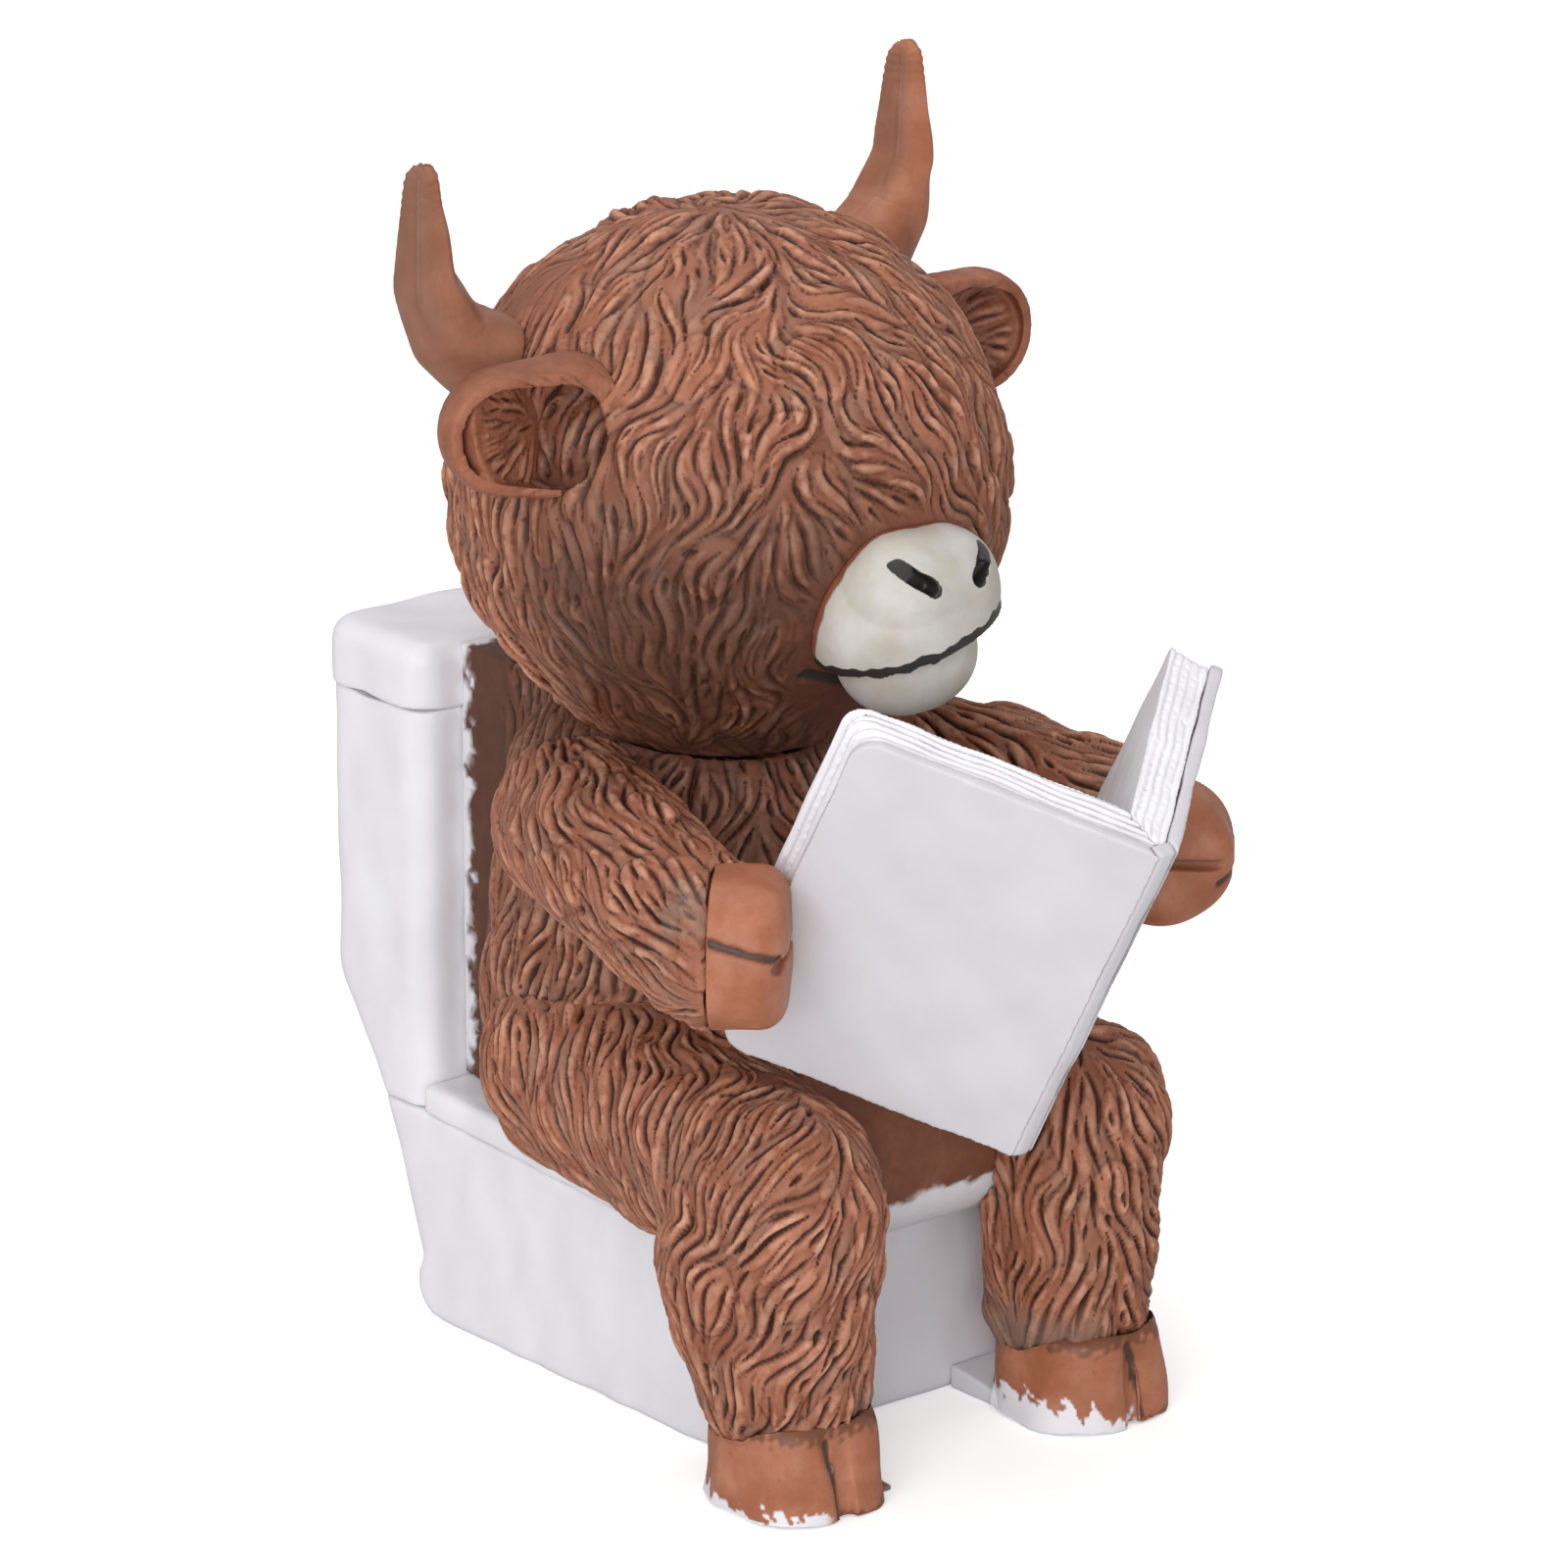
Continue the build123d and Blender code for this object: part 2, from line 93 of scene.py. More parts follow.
def linear(hex_colour):
    """An sRGB hex colour as linear red, green and blue."""
    parts = [int(hex_colour[i : i + 2], 16) / 255 for i in (1, 3, 5)]
    return tuple(
        part / 12.92 if part <= 0.04045 else ((part + 0.055) / 1.055) ** 2.4
        for part in parts
    )


def reach(node):
    """The lowest and the highest corner of a CAD node in millimetres."""
    low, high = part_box(node)
    return np.array(low) / MM, np.array(high) / MM


def unit(ways):
    """The directions, each with a length of one."""
    return ways / np.maximum(np.linalg.norm(ways, axis=-1, keepdims=True), 1e-9)


def along_skin(ways, normals):
    """The part of each direction that lies in the skin, with a length of one."""
    flat = ways - (ways * normals).sum(-1, keepdims=True) * normals
    return unit(flat)


def ramp(values, start, end):
    """Rises smoothly from 0 at start to 1 at end."""
    share = np.clip((values - start) / (end - start), 0, 1)
    return share * share * (3 - 2 * share)


def swell(places, size, seed):
    """A smooth random rise and fall between about -1 and 1, in waves about size mm long."""
    rng = np.random.default_rng(seed)
    total = np.zeros(len(places))
    waves = 9
    for _ in range(waves):
        way = unit(rng.normal(size=3))
        length = size * rng.uniform(0.7, 1.5)
        total += np.sin(places @ way * (2 * math.pi / length) + rng.uniform(0, FULL_TURN))
    return total / math.sqrt(waves)


# ---------------------------------------------------------------- castings


def solid_copy(node):
    """A copy of a node's solid as a bmesh in millimetres, with its doubles merged."""
    cast = bmesh.new()
    cast.from_mesh(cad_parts[node].data)
    bmesh.ops.remove_doubles(cast, verts=cast.verts, dist=WELD)
    bmesh.ops.scale(cast, vec=Vector((1 / MM,) * 3), verts=cast.verts)
    bmesh.ops.recalc_face_normals(cast, faces=cast.faces)
    return cast


def linked(name, data):
    """A new object that holds the data, linked to the scene."""
    made = bpy.data.objects.new(name, data)
    bpy.context.collection.objects.link(made)
    return made


def modified(holder):
    """The mesh that the holder's modifiers make; the holder and its own mesh are removed."""
    mesh = holder.data
    seen = holder.evaluated_get(bpy.context.evaluated_depsgraph_get())
    skin = bpy.data.meshes.new_from_object(seen)
    bpy.data.objects.remove(holder)
    bpy.data.meshes.remove(mesh)
    return skin


def face_pitch(pitch):
    """The pitch that a skin is cast in."""
    return pitch * 1


def recast(cast, pitch, softening=2):
    """The casting with an even skin of square faces of that pitch in mm, its edges softened."""
    mesh = bpy.data.meshes.new("blank")
    cast.to_mesh(mesh)
    cast.free()
    blank = linked("blank", mesh)
    even = blank.modifiers.new("even skin", "REMESH")
    even.mode = "VOXEL"
    even.voxel_size = face_pitch(pitch)
    soft = blank.modifiers.new("soft edges", "SMOOTH")
    soft.factor = 0.5
    soft.iterations = softening
    return modified(blank)


def thinned(mesh, most):
    """The mesh with fewer faces where it is plain, so that it has at most so many triangles."""
    triangles = sum(len(face.vertices) - 2 for face in mesh.polygons)
    if triangles <= most:
        return mesh
    holder = linked("thinning", mesh)
    holder.modifiers.new("fewer faces", "DECIMATE").ratio = most / triangles
    return modified(holder)


def read_skin(mesh):
    """The places and the normals of a mesh's points."""
    places = np.empty(len(mesh.vertices) * 3, np.float32)
    mesh.vertices.foreach_get("co", places)
    normals = np.empty(len(mesh.vertices) * 3, np.float32)
    mesh.vertex_normals.foreach_get("vector", normals)
    return places.reshape(-1, 3).astype(float), normals.reshape(-1, 3).astype(float)


def move_skin(mesh, places):
    """Puts the mesh's points at new places."""
    mesh.vertices.foreach_set("co", places.astype(np.float32).ravel())
    mesh.update()


def paint_mark(mesh, name, amounts):
    """Keeps an amount of paint at each point, which the materials read."""
    mark = mesh.attributes.new(name, "FLOAT", "POINT")
    mark.data.foreach_set("value", np.clip(amounts, 0, 1).astype(np.float32))


def linked_points(mesh):
    """A function that adds up values over each point's neighbours, and how many those are."""
    edges = np.empty(len(mesh.edges) * 2, np.int32)
    mesh.edges.foreach_get("vertices", edges)
    one, other = edges.reshape(-1, 2).T
    count = len(mesh.vertices)
    neighbours = np.bincount(one, minlength=count) + np.bincount(other, minlength=count)

    def total(values):
        return np.bincount(one, values[other], count) + np.bincount(other, values[one], count)

    return total, np.maximum(neighbours, 1)


def local_average(mesh, values, rounds):
    """The values, averaged with their neighbours so many times."""
    total, neighbours = linked_points(mesh)
    for _ in range(rounds):
        values = 0.3 * values + 0.7 * total(values) / neighbours
    return values


def hollowness(mesh, rounds):
    """How far each point lies below the skin's own average around it, in mm."""
    places, normals = read_skin(mesh)
    total, neighbours = linked_points(mesh)
    smooth = places
    for _ in range(rounds):
        smooth = np.stack([total(smooth[:, axis]) / neighbours for axis in range(3)], axis=1)
    return ((smooth - places) * normals).sum(1)


def whole_reach():
    """The lowest and the highest corner of the whole figurine, in mm."""
    ends = np.array([reach(node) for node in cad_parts])
    return ends[:, 0].min(0), ends[:, 1].max(0)


def set_down(node, mesh, slot):
    """Sets a finished mesh down in metres, painted, as the piece that stands for a CAD node."""
    places, _ = read_skin(mesh)
    low, high = whole_reach()
    move_skin(mesh, np.clip(places, low, high))
    mesh = thinned(mesh, MOST_TRIANGLES)
    name = node + ("_coat" if slot == "fur_paint" else "_cast")
    mesh.name = name
    mesh.transform(Matrix.Scale(MM, 4))
    mesh.shade_smooth()
    mesh.materials.clear()
    mesh.materials.append(paint_of(slot))
    piece = linked(name, mesh)
    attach(piece, BODY)
    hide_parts(node)


# ---------------------------------------------------------------- strands and cuts

# In mm: a stroke's step, the grid of its stepping stones, and the grid that finds nearby skin.
STEP = 0.5
STONE = 0.5
CELL = 1.1
SWAY = 0.45


def stepping_stones(places):
    """One point of the skin for each small cell, and the grid that finds it again."""
    low = places.min(0) - 2 * STONE
    cells = ((places - low) / STONE).astype(int)
    size = cells.max(0) + 3
    _, stones = np.unique(np.ravel_multi_index(cells.T, size), return_index=True)
    grid = np.full(size, -1)
    grid[tuple(cells[stones].T)] = np.arange(len(stones))
    for axis in range(3):
        for way in (1, -1):
            grid = np.where(grid < 0, np.roll(grid, way, axis), grid)
    return low, grid, stones


def waved(lie, waviness, wave, seed):
    """The lie of the coat with its waves: neighbours bend together, so they stay side by side."""

    def wavy(places, normals):
        ways = along_skin(lie(places, normals), normals)
        across = np.cross(normals, ways)
        turn = (waviness * swell(places, wave, seed))[:, None]
        return ways * np.cos(turn) + across * np.sin(turn)

    return wavy


def kind_of(*sizes):
    """The sizes of a kind of stroke in mm, and how far it spreads from the lie in radians."""
    return dict(zip(("gap", "width", "height", "shortest", "longest", "spread", "tuck"), sizes))


def comb(places, normals, lie, kind, seed):
    """Tapered strokes over a skin along the lie of the coat, the longest laid first.

    A stroke keeps its gap from the earlier ones, and its end tucks in beside them. Returns the
    strokes' short runs.
    """
    rng = np.random.default_rng(seed)
    low, grid, stones = stepping_stones(places)
    spots, facing = places[stones], normals[stones]
    ways = lie(spots, facing)
    count = len(stones)
    steps = int(kind["longest"] / STEP)
    bend = kind["spread"] * rng.normal(size=count)
    swing = rng.uniform(0, FULL_TURN, count)
    here, at = spots.copy(), np.arange(count)
    path, trail = [here], [at]
    for step in range(steps):
        own = bend * np.sin(swing + step * STEP * SWAY)
        side = np.cross(facing[at], ways[at])
        way = ways[at] * np.cos(own)[:, None] + side * np.sin(own)[:, None]
        here = here + way * STEP
        cell = np.clip(((here - low) / STONE).astype(int), 0, np.array(grid.shape) - 1)
        found = grid[tuple(cell.T)]
        at = np.where(found < 0, at, found)
        lift = ((here - spots[at]) * facing[at]).sum(1)
        here = here - lift[:, None] * facing[at]
        path.append(here)
        trail.append(at)
    path, trail = np.stack(path, 1), np.stack(trail, 1)

    tree = KDTree(count)
    for index, spot in enumerate(spots):
        tree.insert(spot, index)
    tree.balance()
    taken = np.zeros(count, bool)
    share = rng.beta(1.3, 1.5, count)
    wanted = (kind["shortest"] + share * (kind["longest"] - kind["shortest"])) / STEP
    least = int(kind["shortest"] / STEP)
    strokes = {"start": [], "end": [], "width": [], "height": []}
    for need in (0.8, 0.0):
        for first in np.argsort(-wanted + rng.normal(size=count) * 2):
            if taken[first]:
                continue
            met = np.flatnonzero(taken[trail[first]])
            free = met[0] if len(met) else steps
            if free < max(least, need * wanted[first]):
                continue
            length = int(min(free + kind["tuck"] / STEP, wanted[first] + 1, steps))
            for step in range(0, length, 2):
                for _, index, _ in tree.find_range(path[first, step], kind["gap"]):
                    taken[index] = True
            run = np.linspace(0, 1, length + 1)
            root = 0.4 + 0.6 * ramp(run, 0, 0.25)
            tip = (1 - ramp(run, 0.45, 1.0)) ** 0.7
            wide = root * tip * kind["width"] * rng.uniform(0.8, 1.2)
            tall = np.minimum(root, tip**0.6) * kind["height"] * rng.uniform(0.55, 1.2)
            strokes["start"].append(path[first, :length])
            strokes["end"].append(path[first, 1 : length + 1])
            strokes["width"].append(np.stack([wide[:-1], wide[1:]], 1))
            strokes["height"].append(np.stack([tall[:-1], tall[1:]], 1))
    return {name: np.concatenate(values) for name, values in strokes.items()}


def standing(places, strokes, profile):
    """How far the strokes stand out at each place, in mm; the highest one shows."""
    low = places.min(0) - 2 * CELL
    cells = ((places - low) / CELL).astype(np.int64)
    size = cells.max(0) + 4
    keys = np.ravel_multi_index(cells.T, size)
    order = np.argsort(keys, kind="stable")
    keys = keys[order]
    start, run = strokes["start"], strokes["end"] - strokes["start"]
    length = np.maximum((run * run).sum(1), 1e-9)
    home = ((start + run / 2 - low) / CELL).astype(np.int64)
    height = np.zeros(len(places))
    reach_cells = int(math.ceil(strokes["width"].max() / CELL))
    span = 2 * reach_cells + 1
    for shift in np.ndindex(span, span, span):
        cell = np.clip(home + np.array(shift) - reach_cells, 0, size - 1)
        wanted = np.ravel_multi_index(cell.T, size)
        first = np.searchsorted(keys, wanted, "left")
        counts = np.searchsorted(keys, wanted, "right") - first
        if not counts.sum():
            continue
        which = np.repeat(np.arange(len(start)), counts)
        offset = np.arange(len(which)) - np.repeat(np.cumsum(counts) - counts, counts)
        point = order[first[which] + offset]
        reached = places[point] - start[which]
        share = np.clip((reached * run[which]).sum(1) / length[which], 0, 1)
        away = np.linalg.norm(reached - share[:, None] * run[which], axis=1)
        wide = strokes["width"][which, 0] * (1 - share) + strokes["width"][which, 1] * share
        near = away < wide
        which, point, share = which[near], point[near], share[near]
        tall = strokes["height"][which, 0] * (1 - share) + strokes["height"][which, 1] * share
        np.maximum.at(height, point, tall * profile(away[near] / wide[near]))
    return height


def rounded(across):
    """The round back of a strand."""
    return np.sqrt(np.maximum(1 - across**2, 0))


def notched(across):
    """The steep sides of a cut."""
    return (1 - across) ** 1.7


def carve_coat(mesh, lie, seed, strength=None, size=1.0, waviness=1.0, slit=1.0):
    """Lays locks and strands over a skin and cuts between them, and marks where paint stays.

    A larger slit gives flatter backs and deeper cuts. The marks are wash for the narrow cuts,
    crest for the backs of the strands and valley for the low ground between the locks.
    """
    settings = bpy.context.scene.cow_finish
    places, normals = read_skin(mesh)
    lie = waved(lie, settings.waviness * waviness, 9.0 * size, seed)
    lock_gap = settings.lock_gap / MM * size
    strand_gap = settings.strand_gap / MM * size
    lock_height = settings.lock_height / MM
    strand_height = settings.strand_height / MM / slit
    cut_depth = settings.cut_depth / MM * slit
    longest = 11.0 * size
    locks = kind_of(lock_gap, lock_gap * 0.72, lock_height, 5.0, 14.0 * size, 0.12, 2.0)
    strands = kind_of(strand_gap * 1.15, strand_gap * 0.75, strand_height, 3.0, longest, 0.12, 1.5)
    cuts = kind_of(strand_gap, strand_gap * 0.62, cut_depth, 2.0, longest, 0.14, 0.3)
    bulk = standing(places, comb(places, normals, lie, locks, seed), rounded)
    backs = standing(places, comb(places, normals, lie, strands, seed + 1), rounded)
    notches = standing(places, comb(places, normals, lie, cuts, seed + 2), notched)
    full = np.ones(len(places)) if strength is None else strength(places, normals)
    grain = 0.02 * swell(places, 0.9, seed + 3)
    height = (bulk + backs - notches) * full
    level = (bulk + backs).mean()
    move_skin(mesh, places + normals * (height - level * full + grain)[:, None])
    pitch = face_pitch(settings.skin_pitch / MM)
    close = local_average(mesh, height, max(2, int((0.5 / pitch) ** 2 * 1.5)))
    broad = local_average(mesh, close, max(3, int((0.9 / pitch) ** 2)))
    paint_mark(mesh, "wash", (close - height + 0.02) / 0.27)
    paint_mark(mesh, "crest", (height - broad - 0.03) / 0.27)
    paint_mark(mesh, "valley", (1 - ramp(bulk, 0.1, 0.36)) * full)
    return places, normals


# ---------------------------------------------------------------- materials


def add(tree, kind, values=None, **settings):
    """Adds a node with its settings; a value that is a socket is linked."""
    made = tree.nodes.new(kind)
    for name, value in settings.items():
        setattr(made, name, value)
    for socket, value in (values or {}).items():
        if isinstance(value, bpy.types.NodeSocket):
            tree.links.new(value, made.inputs[socket])
        else:
            made.inputs[socket].default_value = value
    return made


def blank_paint(name, roughness, specular, *names):
    """A new material, the places on the object that its patterns lie on, and the amounts of
    paint that were marked on the skin, by name. Its even values sit on the shader's sockets."""
    material = bpy.data.materials.new(name)
    material.use_nodes = True
    tree = material.node_tree
    shader = tree.nodes["Principled BSDF"]
    shader.inputs["Roughness"].default_value = roughness
    shader.inputs["Specular IOR Level"].default_value = specular
    shader.inputs["IOR"].default_value = 1.5
    marks = {
        mark: add(tree, "ShaderNodeAttribute", attribute_name=mark).outputs["Fac"]
        for mark in names
    }
    return material, add(tree, "ShaderNodeTexCoord").outputs["Object"], marks


def colour_steps(amount, steps):
    """A colour ramp through (place, colour) steps."""
    made = add(amount.id_data, "ShaderNodeValToRGB", {"Fac": amount})
    stops = made.color_ramp.elements
    while len(stops) < len(steps):
        stops.new(0.5)
    for stop, (place, colour) in zip(stops, steps):
        stop.position = place
        stop.color = (*colour, 1)
    return made.outputs["Color"]


def noise_at(coordinates, size, detail, roughness):
    """A noise whose blotches are about size mm across."""
    values = {"Vector": coordinates, "Scale": 1 / (size * MM)}
    values.update({"Detail": detail, "Roughness": roughness})
    return add(coordinates.id_data, "ShaderNodeTexNoise", values).outputs["Fac"]


def sum_of(one, other, weight):
    """one plus other times weight, kept between 0 and 1."""
    tree, values = one.id_data, {0: other, 1: weight, 2: one}
    made = add(tree, "ShaderNodeMath", values, operation="MULTIPLY_ADD", use_clamp=True)
    return made.outputs[0]


def between(amount, low, high):
    """How far an amount has risen from low to high, from 0 to 1."""
    tree, values = amount.id_data, {"Value": amount, "From Min": low, "From Max": high}
    made = add(tree, "ShaderNodeMapRange", values, interpolation_type="SMOOTHSTEP")
    return made.outputs["Result"]


def mixed(amount, one, other):
    """One colour turning into the other."""
    tree = amount.id_data
    made = add(tree, "ShaderNodeMix", {"Factor": amount}, data_type="RGBA")
    for socket, colour in ((6, one), (7, other)):
        if isinstance(colour, bpy.types.NodeSocket):
            tree.links.new(colour, made.inputs[socket])
        else:
            made.inputs[socket].default_value = (*colour, 1)
    return made.outputs[2]


def finished(material, colour, coordinates, size, depth):
    """The material in that colour, its skin roughened by grain of that size and depth in mm."""
    tree = material.node_tree
    shader = tree.nodes["Principled BSDF"]
    tree.links.new(colour, shader.inputs["Base Color"])
    height = noise_at(coordinates, size, 3.0, 0.6)
    bump = add(tree, "ShaderNodeBump", {"Height": height, "Strength": 1.0, "Distance": depth * MM})
    tree.links.new(bump.outputs["Normal"], shader.inputs["Normal"])
    return material


def share_of(one, other):
    """One amount times the other."""
    values = {0: one, 1: other}
    return add(one.id_data, "ShaderNodeMath", values, operation="MULTIPLY").outputs[0]


def wiped_fur_paint(name, paints):
    """Matt brown acrylic on cast resin, wiped with a thin dark wash: the wash stays in the cuts
    as dark lines and dries greyish on the low ground, and the wiped backs show warm and pale."""
    names = ("wash", "crest", "valley", "painted_shade", "grey", "white", "ink")
    material, at, marks = blank_paint(name, 0.6, 0.35, *names)
    cloud = noise_at(at, 5.0, 4.0, 0.6)
    steps = ((0.3, linear("#854F37")), (0.5, paints.fur), (0.7, linear("#A86C51")))
    brown = colour_steps(cloud, steps)
    streak = noise_at(at, 1.4, 3.0, 0.6)
    ground = share_of(marks["valley"], between(cloud, 0.42, 0.6))
    colour = mixed(share_of(ground, 0.6), brown, linear("#7E5F4F"))
    pale = share_of(marks["crest"], between(streak, 0.3, 0.6))
    colour = mixed(share_of(pale, 0.8), colour, paints.fur_backs)
    soft = between(sum_of(marks["wash"], streak, 0.25), 0.12, 0.5)
    colour = mixed(share_of(soft, 0.8), colour, linear("#633522"))
    dark = between(marks["wash"], 0.3, 0.68)
    colour = mixed(share_of(dark, 0.9), colour, paints.fur_wash)
    colour = mixed(share_of(marks["grey"], 0.75), colour, linear("#7B6A60"))
    # Painted shade: the coat is darkened in its hollows, under the head and the chin, and on the
    # lower near cheek.
    painted_shade = share_of(marks["painted_shade"], between(cloud, 0.1, 0.5))
    colour = mixed(share_of(painted_shade, 0.8), colour, linear("#3A2014"))
    colour = mixed(marks["white"], colour, linear("#DEDCE1"))
    colour = mixed(marks["ink"], colour, paints.lining)
    return finished(material, colour, at, 0.35, 0.02)


def smooth_horn_paint(name, paints):
    """Thin terracotta acrylic brushed on smooth resin: even and warm, cloudy where the brush
    left less, speckled where dark wash dried in its pores, dark in the clefts, and painted shade
    in its creases and hollows."""
    material, at, marks = blank_paint(name, 0.5, 0.4, "wash", "stain", "white", "ink")
    cloud = noise_at(at, 5.0, 4.0, 0.6)
    steps = ((0.3, linear("#955738")), (0.5, paints.horn), (0.72, linear("#B4785D")))
    body = colour_steps(cloud, steps)
    pores = between(noise_at(at, 0.55, 5.0, 0.7), 0.58, 0.7)
    patches = between(noise_at(at, 3.5, 3.0, 0.6), 0.45, 0.62)
    speck = share_of(pores, patches)
    body = mixed(share_of(speck, 0.55), body, linear("#6E432F"))
    smear = noise_at(at, 1.1, 4.0, 0.7)
    stain = between(sum_of(marks["stain"], smear, 0.5), 0.3, 1.1)
    body = mixed(share_of(stain, 0.6), body, linear("#6F5446"))
    # Painted shade: dark in creases and hollows.
    colour = mixed(marks["wash"], body, linear("#3F2417"))
    colour = mixed(marks["white"], colour, linear("#E2E0E4"))
    colour = mixed(marks["ink"], colour, paints.lining)
    return finished(material, colour, at, 0.5, 0.02)


def cream_paint(name, paints):
    """Cream acrylic brushed on in two coats: a soft sheen, faint yellow and grey clouds, and
    black lining in the nostrils and along the mouth."""
    material, at, marks = blank_paint(name, 0.42, 0.5, "ink", "rim")
    cloud = noise_at(at, 5.0, 3.0, 0.55)
    steps = ((0.35, linear("#B4AD9F")), (0.5, paints.cream), (0.65, linear("#C3BFBA")))
    body = colour_steps(cloud, steps)
    thin = between(noise_at(at, 2.2, 4.0, 0.65), 0.52, 0.7)
    body = mixed(share_of(thin, 0.4), body, linear("#AEABA7"))
    colour = mixed(marks["rim"], body, linear("#7E4A33"))
    colour = mixed(between(marks["ink"], 0.35, 0.6), colour, linear("#2A2422"))
    return finished(material, colour, at, 0.8, 0.03)


def white_paint(name, paints, thin, thick, fold_shade):
    """White acrylic brushed on cast resin: matt with a weak sheen, a touch lavender, with grey
    painted shade in its folds, smudged with brown where it meets the coat, and rubbed to the dark
    base at the foot."""
    material, at, marks = blank_paint(name, 0.45, 0.45, "wash", "smudge", "rub")
    cloud = noise_at(at, 12.0, 4.0, 0.55)
    body = colour_steps(cloud, ((0.3, getattr(paints, thin)), (0.7, linear(thick))))
    # Painted shade: grey in the folds and hollows.
    colour = mixed(marks["wash"], body, linear(fold_shade))
    smear = noise_at(at, 1.6, 5.0, 0.7)
    smudge = between(sum_of(marks["smudge"], smear, 0.5), 0.55, 0.8)
    colour = mixed(share_of(smudge, 0.85), colour, linear("#6C4836"))
    flake = noise_at(at, 0.9, 5.0, 0.75)
    rub = between(sum_of(marks["rub"], flake, 0.8), 0.92, 0.98)
    colour = mixed(rub, colour, linear("#4B423F"))
    return finished(material, colour, at, 1.2, 0.03)


# Each white paint ends with the grey of its painted shade in folds and grooves.
PAINTS = {
    "fur_paint": (wiped_fur_paint, "wiped_brown_acrylic_on_resin"),
    "horn_paint": (smooth_horn_paint, "brushed_terracotta_acrylic_on_resin"),
    "cream_paint": (cream_paint, "cream_acrylic_on_resin"),
    "white_paint": (
        white_paint, "brushed_white_acrylic_on_resin", "toilet", "#E6E5EA", "#B9B5BC"
    ),
    "book_paint": (
        white_paint, "brushed_grey_white_acrylic_on_resin", "book", "#D1CED3", "#ABA8AF"
    ),
    "page_paint": (
        white_paint, "thick_white_acrylic_on_resin", "pages", "#F0EFF3", "#A9A6AD"
    ),
}


def paint_of(slot):
    """The material of a slot, made when it is first asked for."""
    make, name, *shades = PAINTS[slot]
    paints = bpy.context.scene.cow_paints
    return bpy.data.materials.get(name) or make(name, paints, *shades)


# ---------------------------------------------------------------- lie of the coat

CROWN = np.array([-1.7, -2.0, 122.9])
PARTING = np.array([[-11.1, 96.8], [-11.3, 109.9], [-9.0, 117.8], [-3.5, 122.8]])
MUZZLE_MIDDLE = np.array([0.0, -29.0, 86.4])
MUZZLE_HALF = np.array([10.2, 9.3])
MUZZLE_RAISE = 1.5
SMOOTH_PATCH = np.array([-17.8, 5.8, 115.5])


def head_middle():
    """The middle of the round head and its radius, in mm."""
    low, high = reach("head")
    radius = (high[0] - low[0]) / 2
    return np.array([0.0, low[1] + radius, high[2] - radius]), radius


def lie_on_head(places, normals):
    """The hair springs from the crown and falls over the face, cheeks and nape."""
    middle, _ = head_middle()
    crown = unit(CROWN - middle)
    away = -along_skin(np.broadcast_to(crown, places.shape), normals)
    parting = np.interp(places[:, 2], PARTING[:, 1], PARTING[:, 0])
    aside = places[:, 0] - parting
    face = ramp(-places[:, 1], 4.0, 14.0) * ramp(places[:, 2], 78.0, 90.0)
    sweep = np.clip(aside / 5.0, -1, 1) * face * (1 - ramp(np.abs(aside), 16.0, 26.0))
    return away + 0.25 * DOWN + (0.75 * sweep)[:, None] * ACROSS


def fur_on_head(places, normals):
    """The coat is cut full depth, but shallow round the muzzle, under the chin and by the
    near horn."""
    middle, radius = head_middle()
    oval = np.hypot(
        (places[:, 0] - MUZZLE_MIDDLE[0]) / MUZZLE_HALF[0],
        (places[:, 2] - MUZZLE_MIDDLE[2] + MUZZLE_RAISE) / (MUZZLE_HALF[1] + MUZZLE_RAISE),
    )
    bare_band = (1 - ramp(oval, 1.0, 1.32)) * ramp(-places[:, 1], 8, 14)
    patch = np.linalg.norm(places - SMOOTH_PATCH, axis=1)
    bare_patch = 0.75 * (1 - ramp(patch, 3.0, 7.0))
    chin = middle[2] - radius
    throat = 1 - ramp(places[:, 2], chin + 1.0, chin + 7.0)
    return np.clip(1 - bare_band * 0.9 - bare_patch - 0.7 * throat, 0.06, 1)


def lie_on_arm(side):
    """The arm's hair falls from the shoulder and turns along the forearm to the hoof."""
    shoulder = np.array([18.2 * side, 0.0, 61.6])
    wrist = np.array([29.4 * side, -35.5, 60.0])

    def lie(places, normals):
        axis = unit(wrist - shoulder)
        share = np.clip((places - shoulder) @ axis / np.linalg.norm(wrist - shoulder), 0, 1)
        return axis + DOWN * (1.1 * (1 - share) ** 1.5 + 0.25)[:, None]

    return lie


def fur_on_arm(places, normals):
    """The coat thins out at the wrists."""
    return 1 - 0.6 * ramp(-places[:, 1], 37.0, 41.0)


def lie_on_leg(side):
    """The thigh's hair falls down its flank, and the shin's falls apart from its front."""
    knee = np.array([19.4 * side, -34.4, 31.4])

    def lie(places, normals):
        apart = np.clip((places[:, 0] - knee[0]) / 9.0 + 0.5 * side, -1, 1)[:, None]
        shin = ramp(-places[:, 1], 20, 32)[:, None]
        thigh = DOWN + 0.55 * FORWARD
        front = DOWN + ACROSS * apart * 1.1
        return thigh * (1 - shin) + front * shin

    return lie


def lie_on_torso(places, normals):
    """The trunk's hair falls straight, and spreads a little over the belly."""
    apart = np.clip(places[:, 0] / 18.0, -1, 1)[:, None]
    return DOWN + ACROSS * apart * 0.3


def on_lap(places):
    """How far each place is on the web over the lap, from 0 to 1."""
    return ramp(-places[:, 1], 9, 15) * (1 - ramp(places[:, 2], 38, 42))


def fur_on_torso(places, normals):
    """The webs behind the back and over the lap were left smooth."""
    web = ramp(places[:, 1], 15.5, 19.5)
    lap = on_lap(places)
    return np.clip(1 - web - lap, 0.04, 1)


# ---------------------------------------------------------------- pieces


